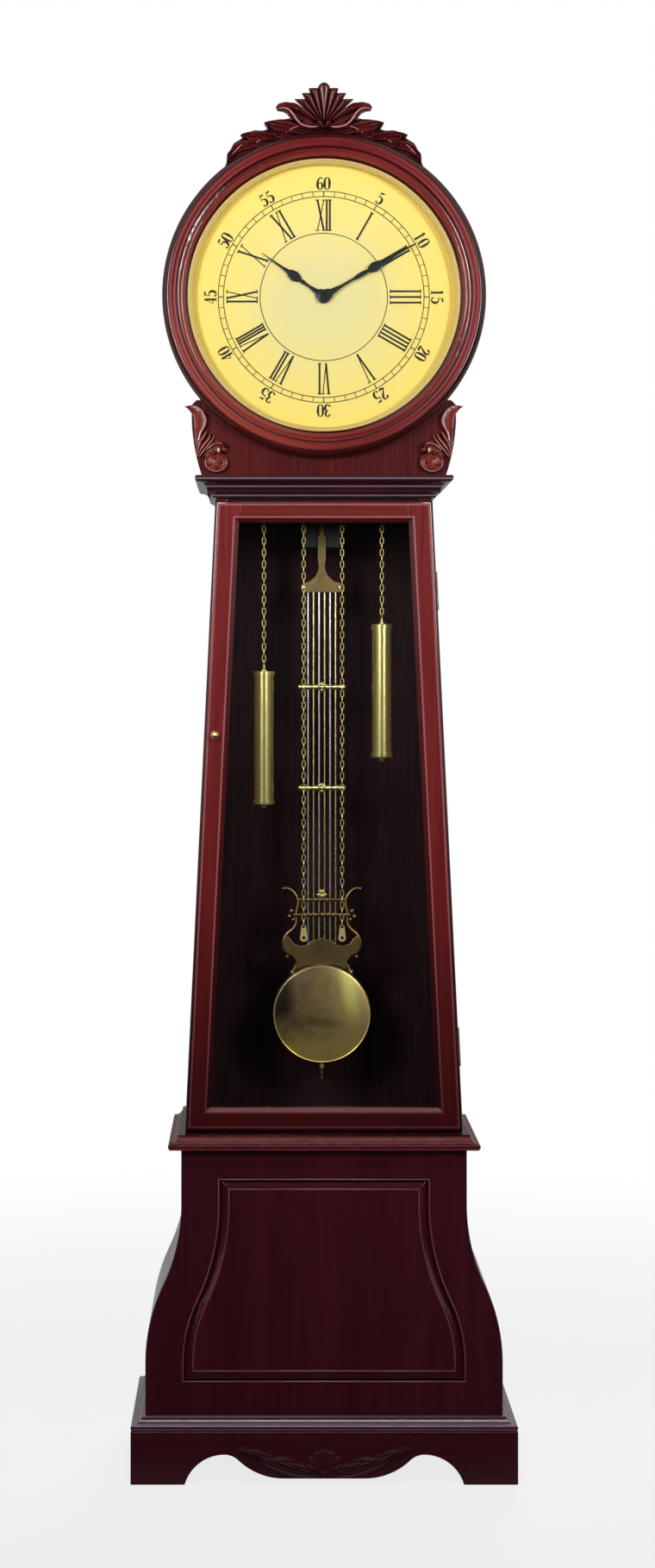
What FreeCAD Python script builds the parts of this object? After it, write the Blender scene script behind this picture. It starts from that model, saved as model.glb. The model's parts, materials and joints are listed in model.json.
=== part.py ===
import FreeCAD, Part
import math
import os

# Longcase clock with a round head, a tapered glazed trunk and a flared base.
# Millimetres, +Z up, the front faces -Y, the origin is on the floor under the middle.

V = FreeCAD.Vector

# Overall depth and stock
overall_depth = 268.0
board = 18.0
back_ply = 6.0
fit_gap = 0.3

# Plinth
plinth_half = 248.5
apron_height = 68.0
carving_relief = 6.0
plinth_cap = 16.0
plinth_cap_width = 48.0
foot_inner = 179.0
arch_x = 128.0
arch_z = 38.5
arch_shoulder = 0.23
pendant_half = 52.0
pendant_z = 8.0
skirt_foot = 55.0
back_rail_lift = 20.0

# Edge of the plinth top and of the waist ledge
edge_quirk = 1.5
edge_nose = 6.0
edge_fillet = 1.2
edge_shelf = 4.0
edge_hollow_bow = 1.9

# Base box
base_setback = 18.0
base_step = 18.2
base_half_high = 184.0
base_height = 343.5
flare_start = 67.0
flare_rise = 204.0
base_side = 12.0
base_stile = 48.4
base_rail_low = 44.0
base_rail_high = 39.5
panel_bevel = 13.0
panel_sink = 2.0
panel_bevel_depth = 7.0
panel_tongue = 9.0
panel_lip = 6.0
floor_board = 12.0

# Waist ledge
ledge_reach = 16.6
ledge_height = 18.5
ledge_inner = 22.0

# Trunk
trunk_setback = 22.0
trunk_half_low = 179.5
trunk_half_high = 140.0
pendulum_room = 342.0
trunk_side = 16.0
trunk_top = 12.0

# Door
door_thick = 18.0
door_gap = 0.5
door_gap_low = 3.5
door_gap_high = 4.0
door_stile = 26.0
door_rail_low = 24.5
door_rail_high = 22.0
door_bevel = 6.0
door_bevel_depth = 5.0
door_round = 4.0
glass_thick = 4.0
glass_rebate = 6.0
glass_bead = 3.0
knob_height = 514.0
knob_inset = 14.0
knob_ball = 5.2
knob_neck = 2.2
knob_neck_length = 4.0
knob_plate = 5.6
knob_plate_thick = 1.6
knob_plate_slope = 0.8

# Door hinges and catch
hinge_axis_out = 0.4
knuckle_radius = 2.0
pin_radius = 0.9
pin_clearance = 0.05
hinge_length = 50.0
knuckle_length = 17.0
knuckle_gap = 0.4
leaf_thick = 1.0
leaf_width = 13.0
hinge_low = 110.0
hinge_high = 700.0
catch_height = 480.0
catch_length = 40.0
catch_width = 9.0
catch_depth = 20.0
catch_plate_thick = 1.2

# Neck cornice
cornice_height = 28.0
cornice_reach = 26.0
cornice_inner = 20.0
cornice_front = 8.0
cornice_foot = 4.0
cornice_fillet = 3.3
cornice_hollow = 10.5
cornice_hollow_bow = 4.0
cornice_rim = 8.0
cornice_lip = 2.5
cornice_quirk = 1.0

# Head
head_rise = 232.0
head_forward = 4.0
head_board = 16.0
head_radius = 204.0
neck_half_low = 157.5
neck_half_high = 170.5
neck_bow = 4.5
neck_height = 92.0
shoulder_rise = 6.0
drum_radius = 195.0
drum_half = 147.0
drum_wall = 9.0

# Bezel, glass and dial
ring_outer = 208.5
ring_bore = 175.5
ring_height = 26.0
ring_foot = 4.0
ring_side_low = 6.0
ring_side_high = 13.0
ring_round = 8.0
ring_round_bow = 2.2
ring_crown = 3.0
ring_step = 3.4
ring_drop = 1.7
ring_fillet = 2.6
ring_hollow = 6.0
ring_hollow_depth = 4.0
ring_hollow_bow = 1.2
ring_bead = 4.8
ring_bead_fall = 1.0
ring_bead_bow = 1.9
ring_cove_height = 12.0
ring_cove_bow = 1.0
board_margin = 2.0
sight_inner = 169.5
sight_rim = 6.0
sight_edge = 1.2
sight_land = 1.0
dial_glass_thick = 3.0
glass_stand = 3.0
dial_sink = 8.0
dial_flange_thick = 6.0

# Movement and hands
movement_half = 28.0
movement_depth = 18.0
battery_radius = 7.2
battery_length = 50.0
battery_wall = 1.0
bush_radius = 4.0
bush_stand = 2.5
nut_radius = 7.0
nut_thick = 2.2
tube_radius = 2.6
tube_clearance = 0.1
arbor_radius = 1.65
hand_thick = 1.0
hand_fit = 0.05
hand_root = 2.4
hand_stem = 1.5
hand_tip = 0.35
spade_low = 0.27
spade_high = 0.32
hour_hand_out = 3.6
minute_hand_out = 6.6
hour_length = 98.0
hour_bulge = 48.6
hour_bulge_half = 8.0
minute_length = 140.0
minute_bulge = 79.0
minute_bulge_half = 8.5
hub_radius = 10.0
hand_nut_radius = 3.6
hand_nut_height = 2.2
hour_angle = 305.0
minute_angle = 60.0

# Crest and corner carvings
crest_thick = 12.0
crest_back = 4.0
crest_band = 15.0
crest_spread = 38.0
shell_hub = 15.8
shell_reach = 43.5
shell_tip = 5.8
shell_root = 2.0
shell_ribs = 9
shell_fan = 112.0
corner_ball = 13.5
corner_ball_inset = 25.0
corner_ball_lift = 1.0
corner_ball_sink = 3.4
corner_ribs = 4
corner_rib_first = 12.0
corner_rib_step = 30.0
corner_rib_reach = 25.0
corner_rib_root = 3.0
corner_rib_tip = 4.8

# Apron shell
apron_ribs = 7
apron_fan = 150.0
apron_shell_z = 17.0
apron_shell_reach = 27.0
apron_rib_root = 2.2
apron_rib_tip = 5.4

# Pendulum
pendulum_back = 156.0
pivot_drop = 26.0
pivot_radius = 1.6
pivot_clearance = 0.08
drive_half = 26.0
drive_depth = 40.0
drive_drop = 46.0
drive_gap = 2.0
strip_width = 6.0
strip_thick = 1.0
leader_drop = 17.0
leader_length = 75.0
leader_half = 5.2
leader_foot_half = 24.7
leader_foot = 12.6
leader_thick = 5.0
leader_bell = 29.0
leader_bell_bow = 8.5
rod_count = 6
rod_pitch = 7.36
rod_radius = 1.25
rod_length = 478.0
crossbar_first = 218.0
crossbar_second = 353.5
crossbar_half = 30.0
crossbar_height = 4.6
crossbar_rosette = 7.0
crossbar_thick = 6.0
crossbar_knob = 3.4
lyre_seat = 12.0
lyre_half = 52.0
lyre_foot = 22.0
lyre_foot_half = 18.0
lyre_foot_bow = 4.7
lyre_hip_bow = 3.8
lyre_lap_bow = 7.0
lyre_dip_bow = 3.4
lyre_thick = 4.0
bob_hang = 8.5
bob_radius = 65.5
bob_depth = 11.0
bob_rim = 5.0
bob_step = 4.0
bob_lip = 1.5
bob_groove = 1.0
tongue_half = 9.0
tongue_lap = 8.0
rating_rod_radius = 1.5
rating_rod_length = 22.0
rating_rod_seat = 6.0
rating_nut_gap = 3.0
rating_nut_radius = 6.0
rating_nut_height = 5.0

# Weights and chains
chain_forward = 46.0
weight_x = 77.3
pull_x = 25.2
hook_wire = 1.1
hook_radius = 3.6
hook_shank = 8.0
link_wire = 0.62
link_pitch = 7.7
link_width = 5.6
link_gap = 0.06
link_corner = 1.58
chain_seat = 0.2
left_links = 24
right_links = 16
pull_links = 69
weight_radius = 12.8
weight_wall = 1.2
weight_length = 175.5
weight_cap_radius = 14.2
weight_cap_height = 6.5
weight_stem = 9.0
weight_eye = 2.4
weight_finial = 5.5
weight_spigot = 2.0
weight_round = 2.0
weight_collar = 4.0
weight_collar_height = 2.0
weight_collar_slope = 1.5
weight_stem_radius = 1.8
tag_height = 22.5
tag_half_top = 3.2
tag_half_low = 5.0
tag_thick = 1.6
tag_hole = 1.9
tag_eye = 2.2
tag_seat = 0.3

# Levels and planes that follow from the sizes above
y_back = overall_depth / 2
y_plinth = carving_relief - overall_depth / 2
plinth_top = apron_height + plinth_cap
y_base = y_plinth + base_setback
base_half_low = plinth_half - base_step
base_top = plinth_top + base_height
trunk_low = base_top + ledge_height
y_trunk = y_base + trunk_setback
trunk_height = rod_length + pendulum_room
trunk_high = trunk_low + trunk_height
taper = math.atan2(trunk_half_low - trunk_half_high, trunk_height)
y_door_back = y_trunk - door_gap
y_door = y_door_back - door_thick
door_low = trunk_low + door_gap_low
door_high = trunk_high - door_gap_high
cornice_top = trunk_high + cornice_height
y_cornice = y_trunk - cornice_front
head_z = cornice_top + head_rise
y_head = y_cornice - head_forward
y_head_back = y_head + head_board
y_dial = y_head + dial_sink
y_dial_back = y_head_back + dial_flange_thick
y_glass = y_head - glass_stand
y_inner_back = y_back - back_ply
y_pendulum = y_base + pendulum_back - trunk_setback
pivot_z = trunk_high - pivot_drop
leader_low = pivot_z - leader_drop - leader_length
rod_low = leader_low - rod_length
lyre_z = rod_low + lyre_seat
bob_z = lyre_z - lyre_foot - bob_hang - bob_radius
y_chain = y_trunk + chain_forward
quarter_bow = 1 - math.sqrt(0.5)


def box(x0, x1, y0, y1, z0, z1):
    return Part.makeBox(x1 - x0, y1 - y0, z1 - z0, V(x0, y0, z0))


def cylinder_y(x, z, radius, y0, y1):
    return Part.makeCylinder(radius, y1 - y0, V(x, y0, z), V(0, 1, 0))


def cylinder_z(x, y, radius, z0, z1):
    return Part.makeCylinder(radius, z1 - z0, V(x, y, z0), V(0, 0, 1))


def save(name, shape):
    shape.exportStep("parts/" + name + ".step")


def group(shapes):
    return Part.makeCompound(shapes)


def mirrored(shape):
    return shape.mirror(V(0, 0, 0), V(1, 0, 0))


# Outlines are lists of segments in the XZ plane: a line has two points, an arc has three.


def edges_of(segments, y=0.0):
    edges = []
    for points in segments:
        vectors = [V(x, y, z) for x, z in points]
        if len(vectors) == 2:
            edges.append(Part.LineSegment(*vectors).toShape())
        else:
            edges.append(Part.Arc(*vectors).toShape())
    return edges


def wire_of(segments, y=0.0):
    return Part.Wire(Part.__sortEdges__(edges_of(segments, y)))


def solid_of(segments, y0, y1):
    return Part.Face(wire_of(segments, y0)).extrude(V(0, y1 - y0, 0))


def polyline(points):
    return [(points[i], points[i + 1]) for i in range(len(points) - 1)]


def closed(points):
    return polyline(points + points[:1])


def both_sides(segments):
    left = [tuple((-x, z) for x, z in reversed(points)) for points in reversed(segments)]
    return segments + left


def bowed(start, end, bow):
    # One arc whose middle stands off the straight line, to the left of the way it runs.
    run = end[0] - start[0]
    rise = end[1] - start[1]
    length = math.hypot(run, rise)
    middle = ((start[0] + end[0]) / 2 - bow * rise / length, (start[1] + end[1]) / 2 + bow * run / length)
    return (start, middle, end)


def s_curve(start, end, share, upright):
    # Two tangent arcs whose ends are both upright, or both level.
    along = 1 if upright else 0
    across = 1 - along
    length = end[along] - start[along]
    width = end[across] - start[across]
    turn = 2 * math.atan2(abs(width), abs(length))
    radius = abs(length) / math.sin(turn)
    signs = (math.copysign(1, width), math.copysign(1, length))

    def middle(point, part, way):
        moved = [0.0, 0.0]
        moved[across] = point[across] + way * signs[0] * part * radius * (1 - math.cos(turn / 2))
        moved[along] = point[along] + way * signs[1] * part * radius * math.sin(turn / 2)
        return tuple(moved)

    joint = tuple(start[i] + share * (end[i] - start[i]) for i in range(2))
    return [(start, middle(start, share, 1), joint), (joint, middle(end, 1 - share, -1), end)]


def revolve_y(segments, x, z):
    # Segments hold (radius, y) pairs, turned about a level axis through x, z.
    placed = [[(x + r, y) for r, y in points] for points in segments]
    edges = []
    for points in placed:
        vectors = [V(px, py, z) for px, py in points]
        maker = Part.LineSegment if len(vectors) == 2 else Part.Arc
        edges.append(maker(*vectors).toShape())
    face = Part.Face(Part.Wire(Part.__sortEdges__(edges)))
    return face.revolve(V(x, 0, z), V(0, 1, 0), 360)


def revolve_z(segments, x, y):
    # Segments hold (radius, z) pairs, turned about an upright axis through x, y.
    edges = []
    for points in segments:
        vectors = [V(x + r, y, pz) for r, pz in points]
        maker = Part.LineSegment if len(vectors) == 2 else Part.Arc
        edges.append(maker(*vectors).toShape())
    face = Part.Face(Part.Wire(Part.__sortEdges__(edges)))
    return face.revolve(V(x, y, 0), V(0, 0, 1), 360)


def dome(edge, edge_level, pole_level):
    # An arc from a rim to the axis whose centre lies on the axis.
    rise = pole_level - edge_level
    radius = (edge * edge + rise * rise) / (2 * abs(rise))
    turn = math.atan2(abs(rise), edge)
    middle = pole_level - math.copysign(radius * (1 - math.cos(turn)), rise)
    return ((edge, edge_level), (radius * math.sin(turn), middle), (0.0, pole_level))


def fused(shapes):
    whole = shapes[0].multiFuse(shapes[1:]).removeSplitter()
    return whole.Solids[0] if len(whole.Solids) == 1 else whole


def horn(points, radii):
    # A tapered round leaf along a smooth line, lofted through circles.
    curve = Part.BSplineCurve()
    curve.interpolate([V(*p) for p in points])
    rings = []
    for point, radius in zip(points, radii):
        centre = V(*point)
        way = curve.tangent(curve.parameter(centre))[0]
        rings.append(Part.Wire(Part.makeCircle(radius, centre, way)))
    return Part.makeLoft(rings, True, False)


def rib(start, end, root, tip):
    # A round-ended tapered flute from start to end.
    base = V(*start)
    way = V(*end) - base
    length = way.Length
    lean = math.asin((tip - root) / length)
    back = (-root, 0.0)
    root_top = (-root * math.sin(lean), root * math.cos(lean))
    tip_top = (length - tip * math.sin(lean), tip * math.cos(lean))
    half = (math.pi / 2 + lean) / 2
    tip_mid = (length + tip * math.cos(half), tip * math.sin(half))
    quarter = (math.pi / 2 - lean) / 2
    root_mid = (-root * math.cos(quarter), root * math.sin(quarter))
    front = (length + tip, 0.0)
    profile = [(back, root_mid, root_top), (root_top, tip_top), (tip_top, tip_mid, front), (front, back)]
    edges = []
    for points in profile:
        vectors = [V(px, 0, pz) for px, pz in points]
        maker = Part.LineSegment if len(vectors) == 2 else Part.Arc
        edges.append(maker(*vectors).toShape())
    flute = Part.Face(Part.Wire(edges)).revolve(V(0, 0, 0), V(1, 0, 0), 360)
    flute.Placement = FreeCAD.Placement(base, FreeCAD.Rotation(V(1, 0, 0), way))
    return flute


def moulding(profile, half, y_face, inner, reach, height, z):
    # Front and two side lengths of one profile, mitred at the front corners.
    def bar(place, way):
        edges = []
        for points in profile:
            vectors = [place(o, z + h) for o, h in points]
            maker = Part.LineSegment if len(vectors) == 2 else Part.Arc
            edges.append(maker(*vectors).toShape())
        return Part.Face(Part.Wire(Part.__sortEdges__(edges))).extrude(way)

    def plan(points):
        corners = [V(x, y, z) for x, y in points]
        return Part.Face(Part.makePolygon(corners + corners[:1])).extrude(V(0, 0, height))

    far = half + reach
    near = half - inner
    front = bar(lambda o, h: V(-far, y_face - o, h), V(2 * far, 0, 0))
    y_near = y_face + inner
    y_far = y_face - reach
    front = front.common(plan([(-near, y_near), (near, y_near), (far, y_far), (-far, y_far)]))
    side = bar(lambda o, h: V(half + o, y_far, h), V(0, y_back - y_far, 0))
    side = side.common(plan([(near, y_near), (far, y_far), (far, y_back), (near, y_back)]))
    return group([front.Solids[0], side.Solids[0], mirrored(side.Solids[0])])


def stepped_edge(reach, height, inner):
    # A small quirk, a rounded nose and a hollow that climbs to the top edge.
    start = reach - edge_quirk
    nose_top = edge_quirk + edge_nose
    hollow = (start - 2 * edge_quirk, nose_top)
    shelf = (edge_shelf, height - edge_fillet)
    profile = polyline([(-inner, 0.0), (start, 0.0), (start, edge_quirk)])
    profile += [bowed((start, edge_quirk), (start, nose_top), -edge_quirk)]
    profile += [((start, nose_top), hollow), bowed(hollow, shelf, edge_hollow_bow)]
    profile += polyline([shelf, (edge_shelf, height), (-inner, height), (-inner, 0.0)])
    return profile


# Plinth


def arch_segments(foot, peak, low):
    # Foot to arch: one arc that is level at the peak and leans out to the floor.
    run = foot - peak
    radius = (run * run + low * low) / (2 * low)
    half_turn = math.asin(run / radius) / 2
    middle = (peak + radius * math.sin(half_turn), low - radius * (1 - math.cos(half_turn)))
    return [((peak, low), middle, (foot, 0.0))]


def apron_outline():
    bracket = s_curve((pendant_half, pendant_z), (arch_x, arch_z), 1 - arch_shoulder, False)
    right = [((0.0, pendant_z), (pendant_half, pendant_z))]
    right += bracket
    right += arch_segments(foot_inner, arch_x, arch_z)
    right += polyline([(foot_inner, 0.0), (plinth_half, 0.0), (plinth_half, apron_height)])
    right += [((plinth_half, apron_height), (0.0, apron_height))]
    return both_sides(right)


def make_plinth():
    save("plinth_apron", solid_of(apron_outline(), y_plinth, y_plinth + board))
    y0 = y_plinth + board
    length = y_back - y0
    middle = y0 + length / 2
    # The skirt is drawn flat about its middle, then turned to run front to back.
    straight = length / 2 - skirt_foot
    right = [((0.0, arch_z), (straight - arch_z, arch_z))]
    right += arch_segments(straight, straight - arch_z, arch_z)
    right += polyline([(straight, 0.0), (length / 2, 0.0), (length / 2, apron_height), (0.0, apron_height)])
    skirt = solid_of(both_sides(right), 0.0, board)
    skirt.rotate(V(0, 0, 0), V(0, 0, 1), 90)
    skirt.translate(V(plinth_half, middle, 0))
    save("plinth_side_skirts", group([skirt, mirrored(skirt)]))
    inner = plinth_half - board
    save("plinth_back_rail", box(-inner, inner, y_back - board, y_back, back_rail_lift, apron_height))
    cap_inner = plinth_cap_width - base_setback
    profile = stepped_edge(base_setback, plinth_cap, cap_inner)
    half = plinth_half - base_setback
    lengths = moulding(profile, half, y_base, cap_inner, base_setback, plinth_cap, apron_height)
    save("plinth_moulding", lengths)


def make_apron_carving():
    # A fan of flutes over the drop of the apron, with a scrolled leaf on each side.
    y = y_plinth
    parts = []
    for i in range(apron_ribs):
        angle = math.radians(apron_fan * (i / (apron_ribs - 1) - 0.5))
        end = (apron_shell_reach * math.sin(angle), y, apron_shell_z + apron_shell_reach * math.cos(angle))
        parts.append(rib((0.0, y, apron_shell_z), end, apron_rib_root, apron_rib_tip))
    scroll = horn(
        [(20, y, 22), (42, y, 32), (66, y, 33), (88, y, 41), (107, y, 45)],
        [4.6, 5.4, 4.4, 5.0, 1.6],
    )
    leaf = horn([(24, y, 18), (44, y, 18), (64, y, 22), (82, y, 32)], [3.6, 5.2, 4.6, 1.5])
    parts += [scroll, leaf, mirrored(scroll), mirrored(leaf)]
    whole = fused(parts)
    front = box(-plinth_half, plinth_half, y - 2 * board, y, 0.0, apron_height)
    save("apron_carving", whole.common(front))


# Base box


def flare(inset):
    # The S of the base side, moved inwards by an even distance.
    low = plinth_top + flare_start
    high = low + flare_rise
    width = base_half_low - base_half_high
    turn = 2 * math.atan2(width, flare_rise)
    radius = flare_rise / math.sin(turn) / 2

    def lower(angle):
        r = radius - inset
        return (base_half_low - radius + r * math.cos(angle), low + r * math.sin(angle))

    def upper(angle):
        r = radius + inset
        return (base_half_high + radius - r * math.cos(angle), high - r * math.sin(angle))

    return [(lower(0), lower(turn / 2), lower(turn)), (upper(turn), upper(turn / 2), upper(0))]


def base_outline(inset, bottom, top):
    curve = flare(inset)
    start = curve[0][0]
    end = curve[1][2]
    right = polyline([(0.0, bottom), (start[0], bottom), start]) + curve
    right += polyline([end, (end[0], top), (0.0, top)])
    return both_sides(right)


def make_base():
    y0 = y_base
    y1 = y_base + board
    window_low = plinth_top + base_rail_low
    window_high = base_top - base_rail_high
    frame = solid_of(base_outline(0.0, plinth_top, base_top), y0, y1)
    window = solid_of(base_outline(base_stile, window_low, window_high), y0, y1)
    save("base_front_frame", frame.cut(window))

    def panel_outline(more, y):
        return wire_of(base_outline(base_stile + more, window_low + more, window_high - more), y)

    field_y = y0 + panel_sink
    edge_y = field_y + panel_bevel_depth
    slab = Part.Face(panel_outline(fit_gap, edge_y)).extrude(V(0, y1 - edge_y, 0))
    field = Part.makeLoft(
        [panel_outline(fit_gap, edge_y), panel_outline(panel_bevel, field_y)], True, True
    )
    tongue = Part.Face(panel_outline(-panel_tongue, y1)).extrude(V(0, panel_lip, 0))
    save("base_raised_panel", fused([slab, field, tongue]))

    outer = flare(0.0)
    inner = flare(base_side)
    low_out = (base_half_low, plinth_top)
    high_out = (base_half_high, base_top)
    low_in = (base_half_low - base_side, plinth_top)
    high_in = (base_half_high - base_side, base_top)
    wall = [(low_out, outer[0][0])] + outer
    wall += polyline([outer[1][2], high_out, high_in, inner[1][2]]) + inner
    wall += polyline([inner[0][0], low_in, low_out])
    side = solid_of(wall, y1, y_inner_back)
    save("base_right_side", side)
    save("base_left_side", mirrored(side))
    save("base_back_panel", solid_of(base_outline(0.0, plinth_top, base_top), y_inner_back, y_back))
    reach = base_half_low - base_side
    save("base_floor_board", box(-reach, reach, y1, y_inner_back, plinth_top, plinth_top + floor_board))


def make_waist():
    profile = stepped_edge(ledge_reach, ledge_height, ledge_inner)
    save(
        "waist_ledge",
        moulding(profile, base_half_high, y_base, ledge_inner, ledge_reach, ledge_height, base_top),
    )
    half = base_half_high - ledge_inner
    save("trunk_floor_board", box(-half, half, y_base + ledge_inner, y_back, base_top, trunk_low))


# Trunk


def half_at(z, inset=0.0):
    # Half width of the trunk at a height, less an inset square to its leaning side.
    return trunk_half_low - (z - trunk_low) * math.tan(taper) - inset / math.cos(taper)


def tapered(inset, z0, z1):
    low = half_at(z0, inset)
    high = half_at(z1, inset)
    return [(-low, z0), (low, z0), (high, z1), (-high, z1)]


def hinge_place(shape, z):
    # Stands a hinge, drawn upright at the origin, on the leaning right side.
    placed = shape.copy()
    placed.rotate(V(0, 0, 0), V(0, 1, 0), -math.degrees(taper))
    placed.translate(V(half_at(z), 0, z))
    return placed


def hinge_leaf(y0, y1, knuckles, others):
    half = hinge_length / 2
    axis_y = (y_trunk + y_door_back) / 2
    leaf = box(-leaf_width, hinge_axis_out, y0, y1, -half, half)
    for low, high in others:
        room = knuckle_radius + knuckle_gap
        leaf = leaf.cut(cylinder_z(hinge_axis_out, axis_y, room, low - knuckle_gap, high + knuckle_gap))
    barrels = [cylinder_z(hinge_axis_out, axis_y, knuckle_radius, low, high) for low, high in knuckles]
    bore = cylinder_z(hinge_axis_out, axis_y, pin_radius + pin_clearance, -half, half)
    return fused([leaf] + barrels).cut(bore)


def hinge_levels():
    return [trunk_low + hinge_low, trunk_low + hinge_high]


def hinge_knuckles():
    half = hinge_length / 2
    middle = knuckle_length / 2
    case_side = [(-half, -middle - knuckle_gap), (middle + knuckle_gap, half)]
    door_side = [(-middle, middle)]
    return case_side, door_side


def leaf_recess(y0, y1):
    # Room for a leaf and for the barrel, which is let into the edge by about half.
    half = hinge_length / 2
    axis_y = (y_trunk + y_door_back) / 2
    barrel = cylinder_z(hinge_axis_out, axis_y, knuckle_radius + knuckle_gap, -half, half)
    return fused([box(-leaf_width, leaf_width, y0, y1, -half, half), barrel])


def make_hinges():
    case_side, door_side = hinge_knuckles()
    case_leaf = hinge_leaf(y_trunk, y_trunk + leaf_thick, case_side, door_side)
    door_leaf = hinge_leaf(y_door_back - leaf_thick, y_door_back, door_side, case_side)
    axis_y = (y_trunk + y_door_back) / 2
    half = hinge_length / 2
    pin = cylinder_z(hinge_axis_out, axis_y, pin_radius, -half, half)
    save("hinge_case_leaves", group([hinge_place(s, z) for z in hinge_levels() for s in (case_leaf, pin)]))
    save("hinge_door_leaves", group([hinge_place(door_leaf, z) for z in hinge_levels()]))


def catch_outline():
    # A block against the inner face of the left side, with leaning ends.
    z0 = trunk_low + catch_height
    z1 = z0 + catch_length
    near = [-half_at(z, trunk_side) for z in (z0, z1)]
    far = [-half_at(z, trunk_side + catch_width) for z in (z0, z1)]
    return [(near[0], z0), (far[0], z0), (far[1], z1), (near[1], z1)]


def make_trunk():
    low = half_at(trunk_low)
    high = half_at(trunk_high)
    low_in = half_at(trunk_low, trunk_side)
    high_in = half_at(trunk_high, trunk_side)
    wall = [(low_in, trunk_low), (low, trunk_low), (high, trunk_high), (high_in, trunk_high)]
    side = solid_of(closed(wall), y_trunk, y_inner_back)
    save("trunk_left_side", mirrored(side))
    recess = leaf_recess(y_trunk, y_trunk + leaf_thick)
    for z in hinge_levels():
        side = side.cut(hinge_place(recess, z))
    save("trunk_right_side", side)
    neck = trunk_half_high - cornice_inner
    panel = tapered(0.0, trunk_low, trunk_high)[1:3]
    panel += [(neck, trunk_high), (neck, cornice_top), (0.0, cornice_top)]
    right = polyline([(0.0, trunk_low)] + panel)
    save("trunk_back_panel", solid_of(both_sides(right), y_inner_back, y_back))
    top = tapered(trunk_side, trunk_high - trunk_top, trunk_high)
    save("trunk_top_board", solid_of(closed(top), y_trunk, y_inner_back))
    save("catch_magnet", solid_of(closed(catch_outline()), y_trunk, y_trunk + catch_depth))


# Door


def door_corners(side, low, high):
    return tapered(side, door_low + low, door_high - high)


def left_of(inset):
    # A tall wedge to the left of a line that runs parallel to the left stile.
    z0 = door_low - board
    z1 = door_high + board
    far = -2 * trunk_half_low
    return [(far, z0), (-half_at(z0, inset), z0), (-half_at(z1, inset), z1), (far, z1)]


def split_frame(frame, inset):
    # Stiles run the full height and the rails stand between them.
    y0 = y_door - board
    y1 = y_door_back + board
    wedge = solid_of(closed(left_of(inset)), y0, y1)
    left = frame.common(wedge)
    right = frame.common(mirrored(wedge))
    rails = frame.cut(wedge).cut(mirrored(wedge)).Solids
    rails.sort(key=lambda s: s.CenterOfMass.z)
    return left.Solids[0], right.Solids[0], rails[0], rails[-1]


def make_door():
    sight = door_stile + door_bevel
    sight_low = door_rail_low + door_bevel
    sight_high = door_rail_high + door_bevel
    blank = solid_of(closed(door_corners(0.0, 0.0, 0.0)), y_door, y_door_back)
    front_edges = [e for e in blank.Edges if all(abs(v.Y - y_door) < 0.001 for v in e.Vertexes)]
    blank = blank.makeFillet(door_round, front_edges)
    opening = solid_of(closed(door_corners(sight, sight_low, sight_high)), y_door, y_door_back)
    slope = Part.makeLoft(
        [
            wire_of(closed(door_corners(door_stile, door_rail_low, door_rail_high)), y_door),
            wire_of(closed(door_corners(sight, sight_low, sight_high)), y_door + door_bevel_depth),
        ],
        True,
        True,
    )
    y_seat = y_door_back - glass_thick - glass_bead
    seat = glass_rebate
    rebate = solid_of(
        closed(door_corners(sight - seat, sight_low - seat, sight_high - seat)), y_seat, y_door_back
    )
    frame = blank.cut(opening).cut(slope).cut(rebate)
    left, right, low, high = split_frame(frame, sight)
    plate = solid_of(closed(catch_outline()), y_door_back - catch_plate_thick, y_door_back)
    save("catch_plate", plate)
    save("door_left_stile", left.cut(plate))
    recess = leaf_recess(y_door_back - leaf_thick, y_door_back)
    for z in hinge_levels():
        right = right.cut(hinge_place(recess, z))
    save("door_right_stile", right)
    save("door_bottom_rail", low)
    save("door_top_rail", high)
    inset = seat - fit_gap
    pane = door_corners(sight - inset, sight_low - inset, sight_high - inset)
    save("door_glass", solid_of(closed(pane), y_seat, y_seat + glass_thick))
    strip = solid_of(closed(pane), y_seat + glass_thick, y_door_back)
    strip = strip.cut(solid_of(closed(door_corners(sight, sight_low, sight_high)), y_seat, y_door_back))
    save("door_glass_beads", group(list(split_frame(strip, sight))))
    make_knob()


def make_knob():
    z = trunk_low + knob_height
    x = -half_at(z, knob_inset)
    plate_y = y_door - knob_plate_thick
    neck_y = plate_y - knob_neck_length
    reach = math.sqrt(knob_ball ** 2 - knob_neck ** 2)
    centre = neck_y - reach
    front = centre - knob_ball
    plate_top = (knob_plate - knob_plate_slope, plate_y)
    profile = polyline([(0.0, front), (0.0, y_door), (knob_plate, y_door), plate_top])
    profile += polyline([plate_top, (knob_neck, plate_y), (knob_neck, neck_y)])
    profile += [((knob_neck, neck_y), (knob_ball, centre), (0.0, front))]
    save("door_knob", revolve_y(profile, x, z))


# Neck and head


def make_cornice():
    r = cornice_reach
    h = cornice_height
    hollow = (cornice_hollow, 2 * cornice_fillet)
    rim = h - cornice_rim
    lip = r - cornice_lip
    under = (lip - cornice_quirk, rim)
    profile = polyline([(-cornice_inner, 0.0), (cornice_foot, 0.0), (cornice_foot, cornice_fillet), hollow])
    profile += [bowed(hollow, under, cornice_hollow_bow)]
    profile += polyline([under, (lip, rim), (r, rim + cornice_lip), (r, h - cornice_lip)])
    profile += [bowed((r, h - cornice_lip), (lip, h), -cornice_lip * quarter_bow)]
    profile += polyline([(lip, h), (-cornice_inner, h), (-cornice_inner, 0.0)])
    save(
        "neck_cornice",
        moulding(profile, trunk_half_high, y_cornice, cornice_inner, r, h, trunk_high),
    )


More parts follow.
